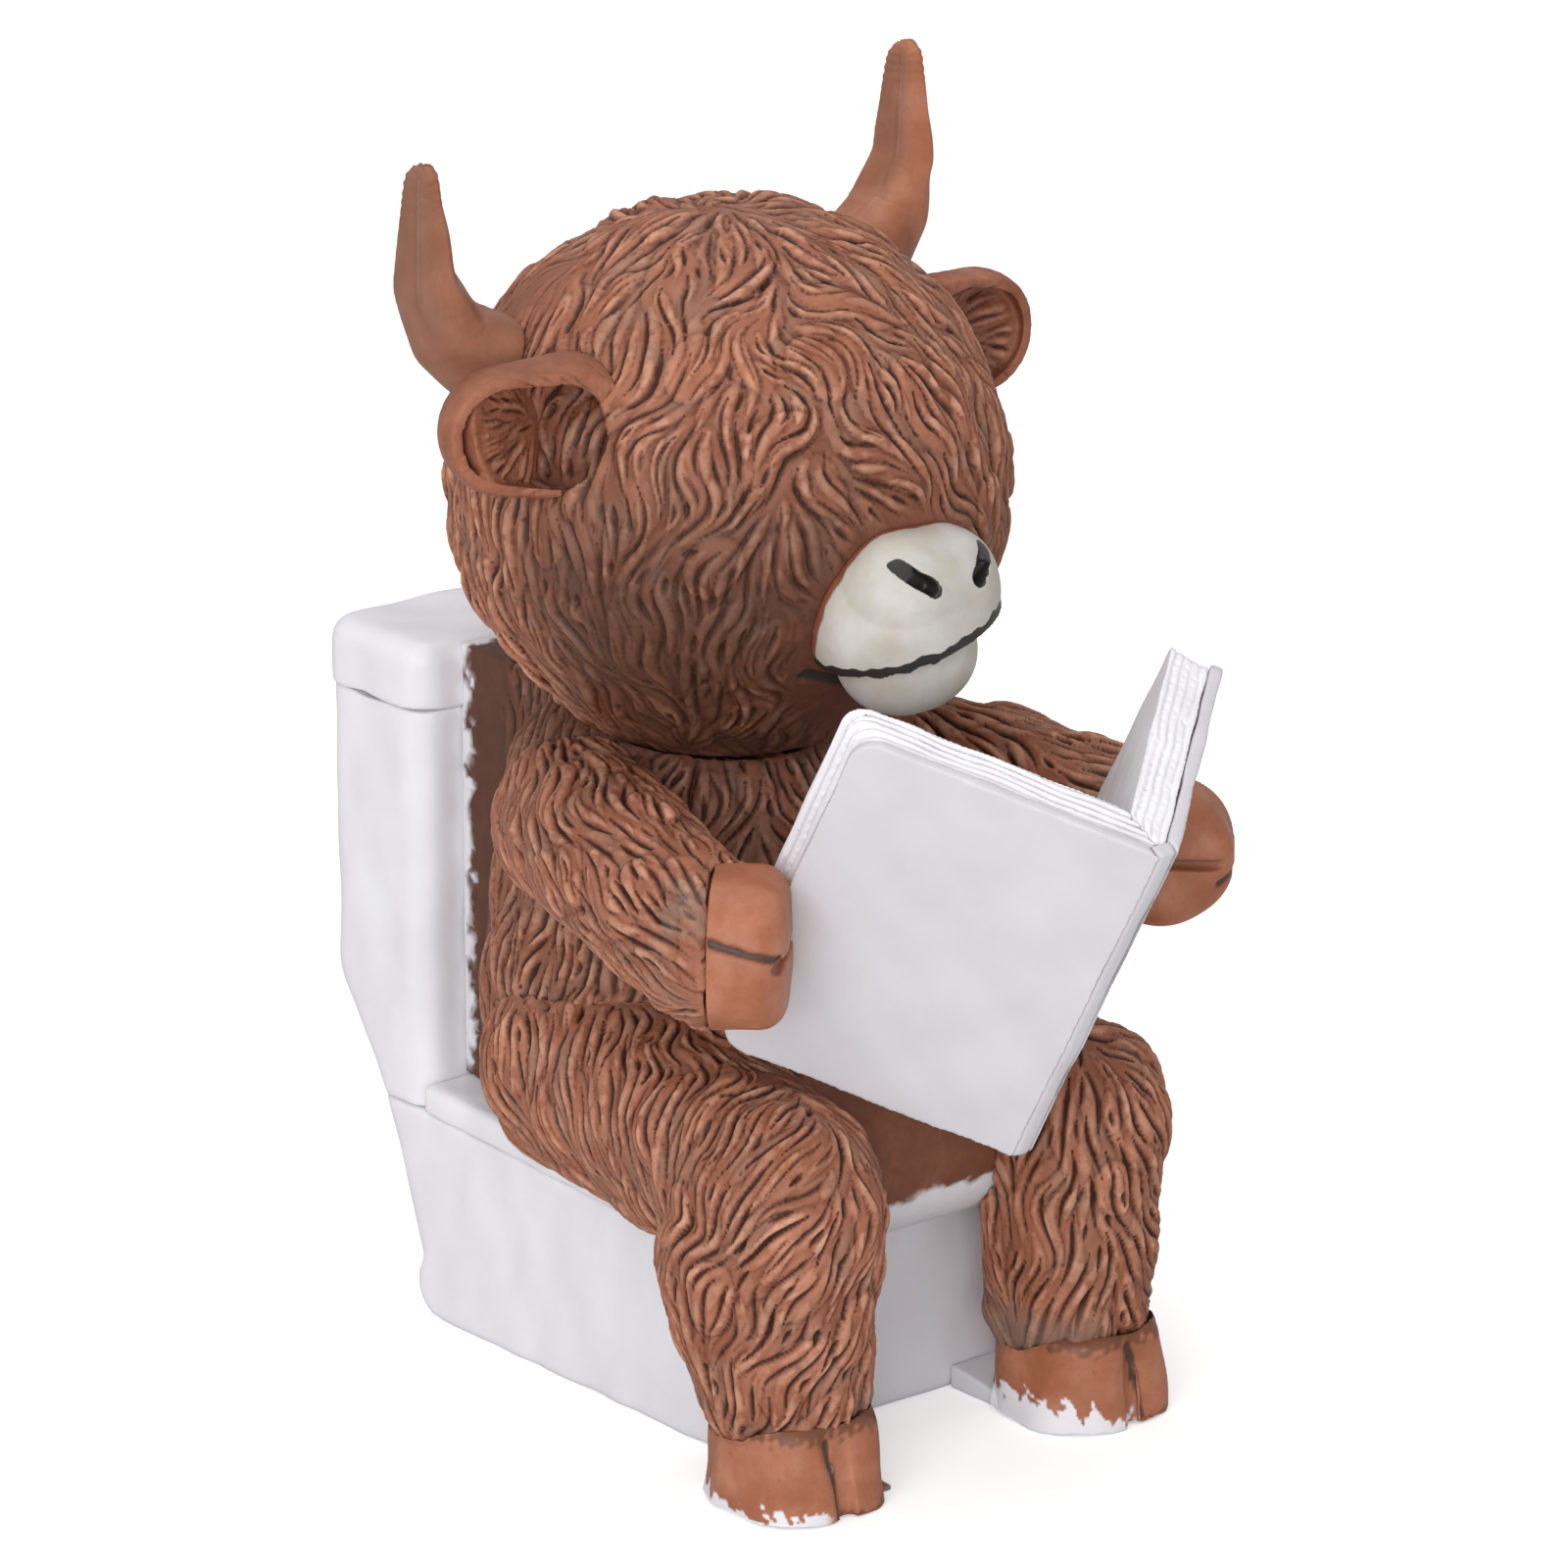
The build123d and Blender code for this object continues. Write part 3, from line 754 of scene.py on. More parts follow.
def smooth_casting(node, pitch, softening, lump, seed):
    """A smooth piece's skin with the slight waviness of a casting, and painted shade in its
    hollows.
    """
    mesh = recast(solid_copy(node), pitch, softening)
    hollow = hollowness(mesh, 12)
    places, normals = read_skin(mesh)
    move_skin(mesh, places + normals * (lump * swell(places, 7.0, seed) - lump)[:, None])
    # Painted shade: the hollows are marked, and the paints darken them.
    paint_mark(mesh, "wash", ramp(hollow, 0.09, 0.3))
    return mesh


def from_line(places, points):
    """The way and the distance to each place from the nearest place of a line through points."""
    nearest = np.full(len(places), np.inf)
    out = np.zeros(places.shape)
    for start, end in zip(points[:-1], points[1:]):
        run = end - start
        share = np.clip((places - start) @ run / (run @ run), 0, 1)
        offset = places - start - share[:, None] * run
        away = np.linalg.norm(offset, axis=1)
        closer = away < nearest
        nearest = np.where(closer, away, nearest)
        out[closer] = offset[closer]
    return out, nearest


def near_line(places, *points):
    """The distance from each place to a line through points."""
    return from_line(places, [np.array(point) for point in points])[1]


def size_of(name, description, size):
    """A size that a user would change; its default is given in mm."""
    return FloatProperty(
        name=name, description=description, default=size * MM, unit="LENGTH", precision=5
    )


def colour_of(name, description, hex_colour):
    """A colour that a user would change."""
    return FloatVectorProperty(
        name=name, description=description, default=linear(hex_colour), subtype="COLOR"
    )


class CowFinish(bpy.types.PropertyGroup):
    """The sizes of the carving that a user would change."""

    skin_pitch: size_of("Skin pitch", "Size of the even faces that the coat is carved in", 0.26)
    lock_gap: size_of("Lock gap", "Distance between neighbouring locks of hair", 3.4)
    lock_height: size_of("Lock height", "How far the locks stand above the low ground", 0.6)
    strand_gap: size_of("Strand gap", "Distance between neighbouring strands", 0.95)
    strand_height: size_of("Strand height", "How far the strands stand out of their lock", 0.42)
    cut_depth: size_of("Cut depth", "Depth of the narrow cuts between the strands", 0.55)
    waviness: FloatProperty(
        name="Waviness",
        description="How far the locks turn from side to side",
        default=0.6,
        subtype="ANGLE",
    )
    seed: IntProperty(
        name="Seed",
        description="Start of the random places of the strokes",
        default=7,
    )


class CowPaints(bpy.types.PropertyGroup):
    """The paints that a user would change."""

    fur: colour_of("Fur", "Brown acrylic of the coat", "#975D45")
    fur_backs: colour_of("Fur backs", "Wiped backs of the strands", "#D9A488")
    fur_wash: colour_of("Fur wash", "Dark wash that stays in the cuts", "#2F160A")
    horn: colour_of("Horn", "Terracotta acrylic of the horns and hooves", "#A36549")
    cream: colour_of("Cream", "Cream acrylic of the muzzle and the lip", "#BBB6AE")
    lining: colour_of("Lining", "Black lining in the coat and the clefts", "#2B2522")
    toilet: colour_of("Toilet", "White acrylic of the toilet", "#DEDCE2")
    book: colour_of("Book", "Greyish white acrylic of the covers and the spine", "#C9C6CB")
    pages: colour_of("Pages", "Bright white acrylic of the pages", "#E6E4E9")


MOUTH_CORNER = ((-9.1, 0.0, 81.1), (-7.7, 0.0, 80.6), (-6.1, 0.0, 80.1), (-3.7, 0.0, 79.2))
MOUTH_BELOW_MIDDLE = 9.8
MOUTH_SLOPE = math.tan(math.radians(17.0))
MOUTH_DEPTH = 0.35


def above_mouth(places):
    """How high each place is above the tilted mouth, in mm."""
    middle, _ = head_middle()
    return places[:, 2] - (middle[2] - MOUTH_BELOW_MIDDLE) - places[:, 0] * MOUTH_SLOPE


EAR_WAY = np.array([0.913, -0.183, 0.363])
EAR_ROOT_RADIUS = 14.0
EAR_ROOT_DEPTH = 2.2


def add_ball(cast, place, radius):
    """Adds a fine ball to a casting."""
    spot = Matrix.Translation(Vector(place))
    bmesh.ops.create_icosphere(cast, subdivisions=4, radius=radius, matrix=spot)


class COW_OT_head(bpy.types.Operator):
    """Carves the head's coat"""

    bl_idname = "cow.head"
    bl_label = "Head"

    def execute(self, context):
        settings = context.scene.cow_finish
        cast = solid_copy("head")
        middle, radius = head_middle()
        for way in SIDES.values():
            root = unit(EAR_WAY * np.array([way, 1, 1]))
            root = middle + root * (radius - EAR_ROOT_DEPTH - EAR_ROOT_RADIUS)
            add_ball(cast, root, EAR_ROOT_RADIUS)
        mesh = recast(cast, settings.skin_pitch / MM)
        places, _ = carve_coat(mesh, lie_on_head, settings.seed, fur_on_head)
        line = near_line(places * FLAT, *MOUTH_CORNER)
        line = line + 0.1 * swell(places, 1.5, settings.seed + 4)
        mouth = (1 - ramp(line, 0.45, 0.65)) * ramp(-places[:, 1], 20, 22)
        carved, normals = read_skin(mesh)
        move_skin(mesh, carved - normals * (MOUTH_DEPTH * mouth)[:, None])
        paint_mark(mesh, "ink", mouth)
        # Painted shade: darker where the skin sinks at the ear roots, under the chin, and on the
        # lower cheek, most on the near side.
        sunk = radius - np.linalg.norm(places - middle, axis=1)
        chin = middle[2] - radius
        throat = 1 - ramp(places[:, 2], chin, chin + 9)
        cheek = (1 - ramp(places[:, 2], 86.0, 112.0)) * ramp(-places[:, 1], -4.0, 12.0)
        cheek = cheek * (1 - 0.6 * ramp(places[:, 0], -6.0, 6.0))
        deep = np.maximum(0.6 * ramp(sunk, 0.3, 2.0), 0.9 * throat)
        paint_mark(mesh, "painted_shade", np.maximum(deep, cheek))
        set_down("head", mesh, "fur_paint")
        return {"FINISHED"}


SILL_TOP = 26.6
SILL_RAGGED = 0.2
TORSO_TRIANGLES = 150000


class COW_OT_torso(bpy.types.Operator):
    """Carves the torso's coat, and paints its borders with the cistern and the seat"""

    bl_idname = "cow.torso"
    bl_label = "Torso"

    def execute(self, context):
        settings = context.scene.cow_finish
        seed = settings.seed + 10
        mesh = recast(solid_copy("torso"), settings.skin_pitch / MM * 1.1)
        places, _ = carve_coat(mesh, lie_on_torso, seed, fur_on_torso, 0.9, 0.7, 1.3)
        # Painted shade: darker on the web behind the back, over the lap and up under the head, and
        # a little all over.
        web = ramp(places[:, 1], 14.0, 17.5)
        collar = ramp(places[:, 2], 60.0, 70.0)
        painted_shade = np.maximum(np.maximum(web, 0.6 * on_lap(places)), 0.3 + 0.55 * collar)
        paint_mark(mesh, "painted_shade", painted_shade)
        ragged = places[:, 1] + 0.7 * swell(places, 1.6, seed + 2)
        border = ramp(ragged, 24.3, 24.7) * ramp(places[:, 2], 26, 28)
        sill = places[:, 2] + 0.35 * swell(places, 2.5, seed + 3)
        sill = 1 - ramp(sill, SILL_TOP - SILL_RAGGED, SILL_TOP + SILL_RAGGED)
        sill = sill * ramp(-places[:, 1], 18, 19)
        paint_mark(mesh, "white", np.maximum(border, sill))
        set_down("torso", thinned(mesh, TORSO_TRIANGLES), "fur_paint")
        return {"FINISHED"}


class COW_OT_limbs(bpy.types.Operator):
    """Carves the coats of both arms and both legs"""

    bl_idname = "cow.limbs"
    bl_label = "Arms and legs"

    def execute(self, context):
        settings = context.scene.cow_finish
        for side, way in SIDES.items():
            arm = recast(solid_copy(f"{side}_arm"), settings.skin_pitch / MM)
            seed = settings.seed + 20 + way
            places, _ = carve_coat(arm, lie_on_arm(way), seed, fur_on_arm, 1.0, 0.55, 1.35)
            if side == "left":
                # The coat of the far wrist is drawn in, so that the hoof covers it.
                places, _ = read_skin(arm)
                low, high = reach("left_fore_hoof")
                offset = (places - (low + high) / 2) * FLAT
                drawn = 0.2 * ramp(-places[:, 1], 31.0, 38.0)
                move_skin(arm, places - offset * drawn[:, None])
            wrist = near_line(places, (way * 35.5, -39.5, 66.8), (way * 34.0, -36.9, 65.7))
            wrist = wrist + swell(places, 2.5, seed + 4)
            paint_mark(arm, "grey", 0.65 * (1 - ramp(wrist, 0.8, 4.0)))
            set_down(f"{side}_arm", arm, "fur_paint")
            leg = recast(solid_copy(f"{side}_leg"), settings.skin_pitch / MM)
            seed = settings.seed + 30 + way
            places, _ = carve_coat(leg, lie_on_leg(way), seed, None, 1.0, 0.6, 1.25)
            ankle = (1 - ramp(places[:, 2], 9.5, 14.0)) * ramp(-way * places[:, 0], -19, -14)
            paint_mark(leg, "grey", 0.8 * ankle)
            set_down(f"{side}_leg", leg, "fur_paint")
        return {"FINISHED"}


# Places of the left ear in mm; the right one's are mirrored.
CUP_DEEPEST = (22.6, -9.8, 106.4)
CUP_FILLERS = (((25.0, -6.2, 105.2), 6.5), ((29.7, -5.2, 105.6), 5.9))
CUP_EDGE = (34.0, -6.6, 103.0)
CUP_LEAN = (-0.34, -0.92, 0.2)
CUP_MIDDLE = (28.2, 105.4)


def mirrored(place, way):
    """A place or a direction of the left side, or its mirror image on the right."""
    return Vector((place[0] * way, place[1], place[2]))


def fill_cup(cast, way):
    """Raises the floor of an ear's cup, so that it slopes from the rim down to the head."""
    filler = bmesh.new()
    for place, radius in CUP_FILLERS:
        add_ball(filler, mirrored(place, way), radius)
    hull = bmesh.ops.convex_hull(filler, input=filler.verts)
    spare = {item for item in hull["geom_interior"] if isinstance(item, bmesh.types.BMVert)}
    bmesh.ops.delete(filler, geom=list(spare), context="VERTS")
    every = filler.verts[:] + filler.edges[:] + filler.faces[:]
    edge, lean = mirrored(CUP_EDGE, way), mirrored(CUP_LEAN, way)
    bmesh.ops.bisect_plane(filler, geom=every, plane_co=edge, plane_no=lean, clear_outer=True)
    bmesh.ops.holes_fill(filler, edges=filler.edges)
    bmesh.ops.recalc_face_normals(filler, faces=filler.faces)
    holder = bpy.data.meshes.new("filler")
    filler.to_mesh(holder)
    filler.free()
    cast.from_mesh(holder)
    bpy.data.meshes.remove(holder)


class COW_OT_ears(bpy.types.Operator):
    """Carves both ears, with hair inside the cups and smooth rims and backs"""

    bl_idname = "cow.ears"
    bl_label = "Ears"

    def execute(self, context):
        settings = context.scene.cow_finish
        for side, way in SIDES.items():
            deep = np.array([CUP_DEEPEST[0] * way, *CUP_DEEPEST[1:]])

            def lie(places, normals):
                return places - deep

            def inside(places, normals):
                across, up = places[:, 0] - CUP_MIDDLE[0] * way, places[:, 2] - CUP_MIDDLE[1]
                open_side = ramp(-normals[:, 1], 0.2, 0.6)
                rim = ramp(np.hypot(across, up), 5.2, 6.4)
                return np.clip(0.6 * open_side * (1 - 0.85 * rim), 0.03, 1)

            cast = solid_copy(f"{side}_ear")
            fill_cup(cast, way)
            ear = recast(cast, settings.skin_pitch / MM * 0.8, 8)
            seed = settings.seed + 40 + way
            places, normals = carve_coat(ear, lie, seed, inside, 0.75, 0.3)
            # Painted shade: darker towards the deepest point of the cup.
            depth = 1 - ramp(np.linalg.norm(places - deep, axis=1), 2.0, 9.0)
            paint_mark(ear, "painted_shade", inside(places, normals) * 0.9 * depth)
            set_down(f"{side}_ear", ear, "fur_paint")
        return {"FINISHED"}


RIDGE_WAY = unit(np.array([-0.83, -0.61, 0.0]))
HORN_LINE = np.array(
    [[21.5, 5.0, 110.6], [28.2, 6.7, 115.7], [30.8, 7.0, 121.2], [31.0, 7.1, 131.6]]
)
HORN_CHIP = np.array([30.9, 3.6, 110.6])
FLATS = 5
RING_GAP = 0.9
RING_HEIGHT = 0.06


def pared_horn(side, way):
    """A horn pared to five soft flats, with fine rings at its tip and stains on its flank."""
    node = f"{side}_horn"
    mesh = recast(solid_copy(node), 0.26, 24)
    places, normals = read_skin(mesh)
    top = reach(node)[1][2]
    line = HORN_LINE * np.array([way, 1, 1]) + np.array([0, 0, top - reach("left_horn")[1][2]])
    out, nearest = from_line(places, line)
    angle = np.arctan2(out[:, 1], out[:, 0]) - math.atan2(RIDGE_WAY[1], RIDGE_WAY[0])
    half = math.pi / FLATS
    turn = np.mod(angle + half, 2 * math.pi / FLATS) - half
    corner = math.cos(half) / np.cos(half - np.abs(turn))
    upper = ramp(places[:, 2], top - 19, top - 12)
    pared = (1 - corner) * nearest * 0.75 * upper
    rings = ramp(places[:, 2], top - 5.0, top - 3.5) * RING_HEIGHT
    wave = places[:, 2] * 2 * math.pi / RING_GAP + 1.5 * swell(places, 3.0, 52)
    rings = rings * np.sin(wave)
    lump = 0.1 * swell(places, 6.0, 50 + way)
    move_skin(mesh, places + normals * (lump - 0.1 - pared + rings)[:, None])
    facing = (unit(out) * RIDGE_WAY).sum(1)
    crease = np.exp(-((turn / 0.13) ** 2)) * ramp(facing, 0.6, 0.9) * upper
    # Painted shade: a faint dark line along the forward ridge between two flats.
    paint_mark(mesh, "wash", 0.25 * crease)
    flank = ramp(-out[:, 0] / np.maximum(nearest, 0.1), 0.1, 0.8)
    flank = flank * ramp(places[:, 2], top - 28, top - 6)
    paint_mark(mesh, "stain", 0.6 * flank if side == "left" else 0.5 + 0.35 * flank)
    return mesh


class COW_OT_horns(bpy.types.Operator):
    """Shapes both horns"""

    bl_idname = "cow.horns"
    bl_label = "Horns"

    def execute(self, context):
        for side, way in SIDES.items():
            mesh = pared_horn(side, way)
            if side == "left":
                places, _ = read_skin(mesh)
                chip = np.linalg.norm(places - HORN_CHIP, axis=1)
                chip = chip + 0.5 * swell(places, 1.2, 55)
                paint_mark(mesh, "white", 1 - ramp(chip, 0.9, 1.2))
            set_down(f"{side}_horn", mesh, "horn_paint")
        return {"FINISHED"}


HOOF_CLEFTS = {
    "right_fore_hoof": ((-37.2, 64.1), (-32.3, 62.0), (-28.2, 60.8)),
    "left_fore_hoof": ((29.0, 56.2), (31.4, 57.2)),
    "right_hind_hoof": ((-21.3, 8.4), (-20.6, 4.5), (-20.0, 0.0)),
    "left_hind_hoof": ((18.7, 8.4), (19.6, 4.5), (20.1, 0.0)),
}


def cleft_in_hoof(mesh, node, hind):
    """Cuts the narrow cleft into a hoof's front and paints it dark."""
    places, normals = read_skin(mesh)
    ends = [(x, 0.0, z) for x, z in HOOF_CLEFTS[node]]
    line = near_line(places * FLAT, *ends) + 0.1 * swell(places, 1.5, 63)
    front = ramp(-places[:, 1], 34.0, 36.0) * ramp(-normals[:, 1], 0.1, 0.4)
    depth = (0.6 if hind else 0.35) * (1 - ramp(line, 0.1, 1.3 if hind else 0.75))
    move_skin(mesh, places - normals * (depth * front)[:, None])
    if hind:
        places, _ = read_skin(mesh)
        evened = [local_average(mesh, places[:, axis], 4) for axis in range(3)]
        move_skin(mesh, np.stack(evened, 1))
    paint_mark(mesh, "ink", (1 - ramp(line, 0.28, 0.55)) * front * 0.85)
    return places


def chip_hind_hoof(mesh, side, places):
    """Paints the chips at a hind hoof's foot, and painted shade at its top and its foot."""
    ragged = places[:, 2] + 0.6 * swell(places, 1.6, 61) + 0.4 * swell(places, 0.7, 62)
    outer = ramp(-places[:, 0], 21.0, 22.5)
    chips = (1 - ramp(ragged, 0.9, 1.1)) * outer
    if side == "left":
        slope = np.interp(places[:, 0], [9.0, 19.0], [3.6, 0.6])
        pad = 1 - ramp(ragged - slope, -0.1, 0.1)
        chips = pad * (1 - ramp(places[:, 0], 19.0, 20.0))
    paint_mark(mesh, "white", chips)
    low = (1 - ramp(ragged, 0.3, 0.5)) * (1 - outer)
    top = ramp(places[:, 2] + 0.5 * swell(places, 1.2, 64), 8.3, 9.3)
    # Painted shade at the top, where the leg meets the hoof, and at the foot.
    mesh.attributes.remove(mesh.attributes["wash"])
    paint_mark(mesh, "wash", np.maximum(0.5 * low, 0.6 * top))


class COW_OT_hooves(bpy.types.Operator):
    """Shapes the four hooves"""

    bl_idname = "cow.hooves"
    bl_label = "Hooves"

    def execute(self, context):
        for side in SIDES:
            for hind in (False, True):
                node = f"{side}_hind_hoof" if hind else f"{side}_fore_hoof"
                mesh = smooth_casting(node, 0.24, 7 if hind else 4, 0.25 if hind else 0.12, 60)
                places = cleft_in_hoof(mesh, node, hind)
                if hind:
                    chip_hind_hoof(mesh, side, places)
                set_down(node, mesh, "horn_paint")
        return {"FINISHED"}


NOSTRIL = np.array([[6.56, 94.48], [3.04, 91.52]])
NOSTRIL_CLOSED = 0.3
NOSTRIL_OPEN = 0.38


def nostril_line(way):
    """The middle line of a nostril's slot, laid flat."""
    return [np.array([way * x, 0.0, z]) for x, z in NOSTRIL]


def shorten_nostril(mesh, way):
    """Closes the upper end of a nostril's slot, level with the skin round it."""
    places, _ = read_skin(mesh)
    front = places[:, 1] < -34
    flat = places[:, [0, 2]]
    high, low = NOSTRIL * np.array([way, 1])
    end = high + (low - high) * NOSTRIL_CLOSED
    run = unit(end - high)
    share = np.clip((flat - high) @ run, 0, np.linalg.norm(end - high))
    away = np.linalg.norm(flat - high - share[:, None] * run, axis=1)
    ring = front & (away > 1.3) & (away < 2.6)
    ring &= near_line(places * FLAT, *nostril_line(way)) > 1.2

    def terms(spots):
        x, z = spots[:, 0] - high[0], spots[:, 2] - high[1]
        return np.stack([np.ones(len(spots)), x, z, x * x, x * z, z * z], 1)

    fit, _, _, _ = np.linalg.lstsq(terms(places[ring]), places[ring, 1], rcond=None)
    inside = front & (away < 1.25)
    places[inside, 1] = np.minimum(places[inside, 1], terms(places[inside]) @ fit)
    move_skin(mesh, places)


class COW_OT_face(bpy.types.Operator):
    """Shapes the muzzle and the lip, and lines the nostrils and the mouth"""

    bl_idname = "cow.face"
    bl_label = "Muzzle and lip"

    def execute(self, context):
        middle, radius = head_middle()
        muzzle = smooth_casting("muzzle", 0.2, 3, 0.08, 70)
        for way in SIDES.values():
            shorten_nostril(muzzle, way)
        places, _ = read_skin(muzzle)
        nostril = np.full(len(places), np.inf)
        for way in SIDES.values():
            high, low = nostril_line(way)
            slot = near_line(places * FLAT, high + NOSTRIL_OPEN * (low - high), low)
            nostril = np.minimum(nostril, slot)
        nostril = np.where(places[:, 1] < -33, nostril, np.inf)
        lining = 1 - ramp(nostril + 0.08 * swell(places, 1.6, 73), 0.85, 1.0)
        lips = 1 - ramp(above_mouth(places) + 0.2 * swell(places, 2.0, 74), 1.05, 1.25)
        paint_mark(muzzle, "ink", np.maximum(lining, lips))
        raised = np.linalg.norm(places - middle, axis=1) - radius
        raised = raised + 0.15 * swell(places, 2.5, 72)
        paint_mark(muzzle, "rim", 1 - ramp(raised, 0.9, 1.1))
        set_down("muzzle", muzzle, "cream_paint")
        lip = smooth_casting("lower_lip", 0.2, 3, 0.06, 71)
        places, _ = read_skin(lip)
        below = -above_mouth(places) + 0.2 * swell(places, 2.0, 75)
        paint_mark(lip, "ink", 1 - ramp(below, 0.8, 1.0))
        raised = np.linalg.norm(places - middle, axis=1) - radius
        paint_mark(lip, "rim", 1 - ramp(raised, 0.3, 0.45))
        set_down("lower_lip", lip, "cream_paint")
        return {"FINISHED"}


class COW_OT_toilet(bpy.types.Operator):
    """Shapes the pedestal, seat, cistern, lid and foot pads"""

    bl_idname = "cow.toilet"
    bl_label = "Toilet"

    def execute(self, context):
        for node in ("pedestal", "seat", "cistern", "cistern_lid"):
            mesh = smooth_casting(node, 0.45, 3, 0.1, 80)
            places, _ = read_skin(mesh)
            paint_mark(mesh, "rub", (1 - ramp(places[:, 2], 0.3, 1.6)) * 0.32)
            set_down(node, mesh, "white_paint")
        for side in SIDES:
            node = f"{side}_foot_pad"
            mesh = smooth_casting(node, 0.26, 2, 0.04, 81)
            places, _ = read_skin(mesh)
            front = reach(node)[0][1]
            edge = 1 - ramp(places[:, 1], front + 1.0, front + 6.0)
            paint_mark(mesh, "smudge", 0.55 * edge + 0.12)
            set_down(node, mesh, "white_paint")
        return {"FINISHED"}


LEAF_PITCH = 0.86
LEAF_GROOVE = 0.34
LEFT_SHARE = 0.45
PAGE_TRIANGLES = 100000
BOARD_TRIANGLES = 60000


def leafed_pages(side):
    """The pages of one half: wavy ridges of paper side by side, with grey painted shade in the
    grooves between them.
    """
    board = solid_copy(f"{side}_cover_board")
    corners = np.array([point.co for point in board.verts])
    board.free()
    middle = (corners.min(0) + corners.max(0)) / 2
    _, _, ways = np.linalg.svd(corners - corners.mean(0))
    upright = ways[2]
    mesh = recast(solid_copy(f"{side}_pages"), 0.2, 5)
    places, normals = read_skin(mesh)
    if (places.mean(0) - middle) @ upright < 0:
        upright = -upright
    depth = (places - middle) @ upright
    depth = depth - depth.min()
    wave = 0.16 * swell(places, 9.0, 92) + 0.05 * swell(places, 3.0, 93)
    phase = (depth + wave) / LEAF_PITCH
    groove = np.abs(phase - np.round(phase)) * LEAF_PITCH
    rim = 1 - ramp(np.abs(normals @ upright), 0.35, 0.75)
    cut = np.exp(-((groove / 0.15) ** 2)) * rim * ramp(depth, 0.3, 0.5)
    lump = 0.06 * swell(places, 6.0, 94) - 0.06
    share = LEFT_SHARE if side == "left" else 1.0
    move_skin(mesh, places + normals * (lump - LEAF_GROOVE * share * cut)[:, None])
    # Painted shade: grey in the grooves between the leaves.
    paint_mark(mesh, "wash", 0.75 * share * cut * (0.7 + 0.3 * swell(places, 2.0, 95)))
    return mesh


class COW_OT_book(bpy.types.Operator):
    """Shapes the open book"""

    bl_idname = "cow.book"
    bl_label = "Book"

    def execute(self, context):
        for node in ("book_spine", "left_cover_board", "right_cover_board"):
            mesh = smooth_casting(node, 0.24, 9, 0.08, 90)
            set_down(node, thinned(mesh, BOARD_TRIANGLES), "book_paint")
        for side in SIDES:
            set_down(f"{side}_pages", thinned(leafed_pages(side), PAGE_TRIANGLES), "page_paint")
        return {"FINISHED"}


# ---------------------------------------------------------------- stage

FLOOR_HALF = 3.0
CAMERA_TARGET = np.array([5.1, -4.7, 61.7])
CAMERA_DISTANCE = 850.0
CAMERA_AZIMUTH = math.radians(-39.6)
CAMERA_HEIGHT = math.radians(18.0)
CAMERA_LENS = 191.25
CAMERA_FILM = 36.0

# Name, place and size in mm, power in watts, and the place in mm that the lamp is turned to.
SOFTBOXES = (
    ("key_softbox", (-640, -420, 330), 440, 2.9, (0, 0, 65)),
    ("fill_softbox", (-430, -690, 110), 340, 1.55, (0, 0, 40)),
    ("top_softbox", (0, 60, 760), 420, 1.3, (0, 0, 65)),
)


def point_at(thing, target):
    """Turns a camera or a lamp towards a place in metres."""
    way = Vector(target) - thing.location
    thing.rotation_euler = way.to_track_quat("-Z", "Y").to_euler()


def softbox(name, place, size, power, target):
    """A square studio softbox."""
    lamp = bpy.data.lights.new(name, "AREA")
    lamp.shape = "SQUARE"
    lamp.size = size * MM
    lamp.energy = power
    box = linked(name, lamp)
    box.location = Vector(place) * MM
    point_at(box, Vector(target) * MM)


def empty_tree(owner):
    """The node tree of a material or a world, switched on and cleared."""
    owner.use_nodes = True
    owner.node_tree.nodes.clear()
    return owner.node_tree


def split_by_camera(tree, output, lit, seen):
    """Joins two shaders: the camera sees one of them, and all other light meets the other."""
    camera = add(tree, "ShaderNodeLightPath").outputs["Is Camera Ray"]
    mix = add(tree, "ShaderNodeMixShader", {0: camera, 1: lit, 2: seen}).outputs[0]
    add(tree, output, {"Surface": mix})


def even_shader(tree, kind, grey, **strength):
    """Adds a shader of one even grey."""
    values = {"Color": (grey, grey, grey, 1), **strength}
    return add(tree, kind, values).outputs[0]


def paper_material():
    """Matt white backdrop paper: it takes the figurine's shadow and shows white elsewhere."""
    material = bpy.data.materials.new("matt_white_backdrop_paper")
    tree = empty_tree(material)
    plain = even_shader(tree, "ShaderNodeBsdfDiffuse", 0.7)
    white = even_shader(tree, "ShaderNodeBsdfDiffuse", 1)
    glow = even_shader(tree, "ShaderNodeEmission", 1, Strength=0.35)
    shown = add(tree, "ShaderNodeAddShader", {0: white, 1: glow}).outputs[0]
    split_by_camera(tree, "ShaderNodeOutputMaterial", plain, shown)
    return material


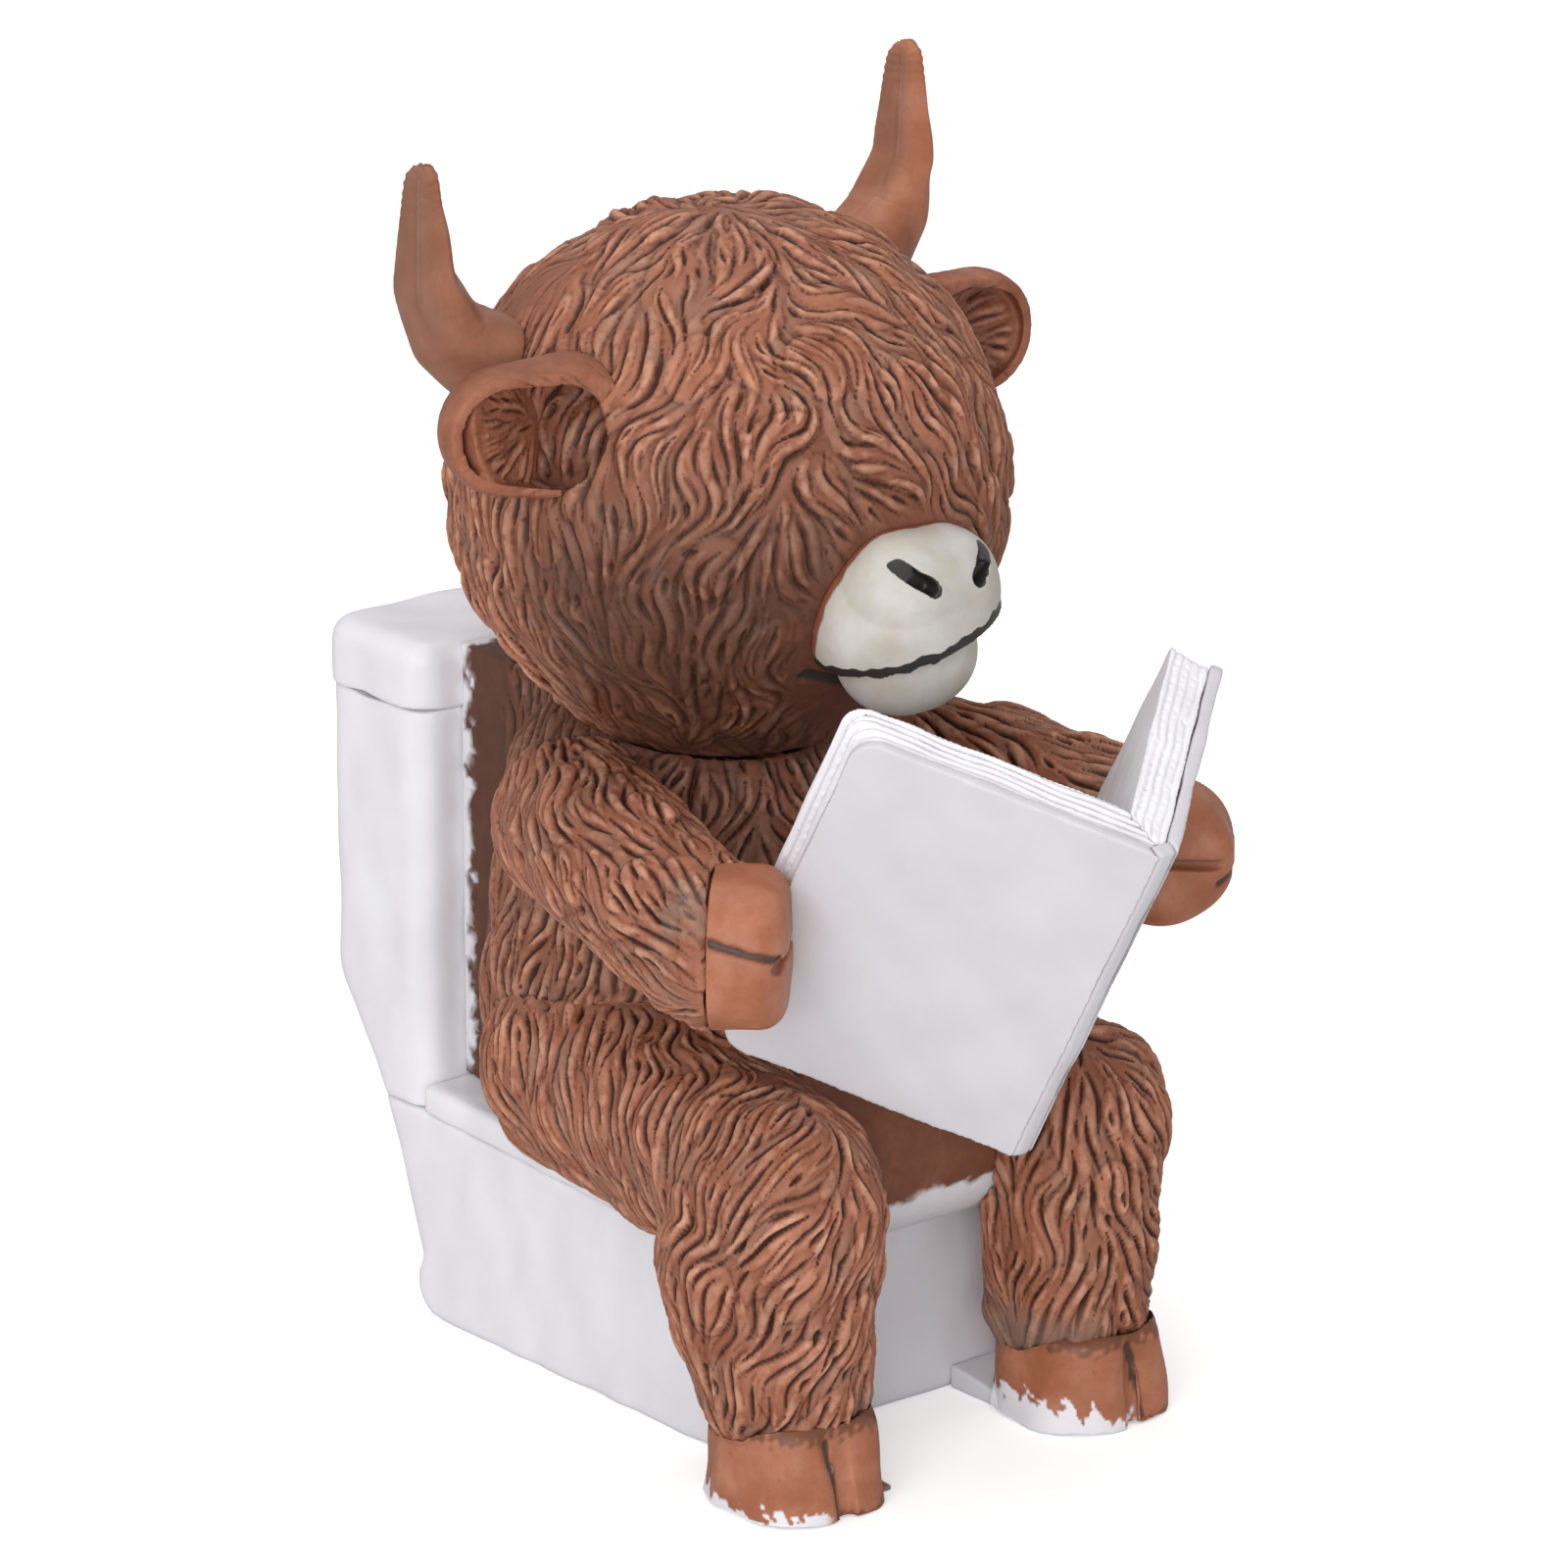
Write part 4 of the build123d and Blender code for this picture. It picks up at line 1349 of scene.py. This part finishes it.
class COW_OT_stage(bpy.types.Operator):
    """Lays the floor, hangs the lamps and sets the camera"""

    bl_idname = "cow.stage"
    bl_label = "Stage"

    def execute(self, context):
        scene = context.scene
        scene.view_settings.view_transform = "Standard"
        paper = bmesh.new()
        bmesh.ops.create_grid(paper, x_segments=1, y_segments=1, size=FLOOR_HALF)
        mesh = bpy.data.meshes.new("floor_paper")
        paper.to_mesh(mesh)
        paper.free()
        mesh.materials.append(paper_material())
        floor = linked("floor_paper", mesh)
        floor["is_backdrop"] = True

        world = bpy.data.worlds.new("studio_white")
        tree = empty_tree(world)
        soft = even_shader(tree, "ShaderNodeBackground", 1, Strength=0.6)
        white = even_shader(tree, "ShaderNodeBackground", 1, Strength=1.0)
        split_by_camera(tree, "ShaderNodeOutputWorld", soft, white)
        scene.world = world
        for facts in SOFTBOXES:
            softbox(*facts)

        way = np.array(
            [
                math.sin(CAMERA_AZIMUTH) * math.cos(CAMERA_HEIGHT),
                -math.cos(CAMERA_AZIMUTH) * math.cos(CAMERA_HEIGHT),
                math.sin(CAMERA_HEIGHT),
            ]
        )
        lens = bpy.data.cameras.new("studio_camera")
        lens.sensor_width = CAMERA_FILM
        lens.lens = CAMERA_LENS
        lens.clip_start = 0.05
        camera = linked("studio_camera", lens)
        camera.location = Vector((CAMERA_TARGET + way * CAMERA_DISTANCE) * MM)
        point_at(camera, Vector(CAMERA_TARGET * MM))
        scene.camera = camera
        return {"FINISHED"}


class COW_PT_panel(bpy.types.Panel):
    """Lists the pieces, the sizes of the carving and the paints"""

    bl_idname = "COW_PT_panel"
    bl_label = "Cow figurine"
    bl_space_type = "VIEW_3D"
    bl_region_type = "UI"
    bl_category = "Cow"

    def draw(self, context):
        for settings in (context.scene.cow_finish, context.scene.cow_paints):
            for name in settings.bl_rna.properties.keys():
                if name not in ("rna_type", "name"):
                    self.layout.prop(settings, name)
        for operator in PIECES:
            self.layout.operator(operator.bl_idname)


PIECES = (COW_OT_stage, COW_OT_head, COW_OT_face, COW_OT_horns, COW_OT_ears)
PIECES += (COW_OT_torso, COW_OT_limbs, COW_OT_hooves, COW_OT_toilet, COW_OT_book)
CLASSES = (CowFinish, CowPaints, *PIECES, COW_PT_panel)


def register():
    for made in CLASSES:
        bpy.utils.register_class(made)
    bpy.types.Scene.cow_finish = PointerProperty(type=CowFinish)
    bpy.types.Scene.cow_paints = PointerProperty(type=CowPaints)


def unregister():
    del bpy.types.Scene.cow_paints
    del bpy.types.Scene.cow_finish
    for made in reversed(CLASSES):
        bpy.utils.unregister_class(made)


def plain(box):
    """A box as plain lists of numbers."""
    return [[float(number) for number in corner] for corner in box]


def main():
    register()
    for operator in PIECES:
        group, name = operator.bl_idname.split(".")
        getattr(getattr(bpy.ops, group), name)()
    sizes = {"cad": plain(CAD_BOX), "scene": plain(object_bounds())}


if __name__ == "__main__":
    main()
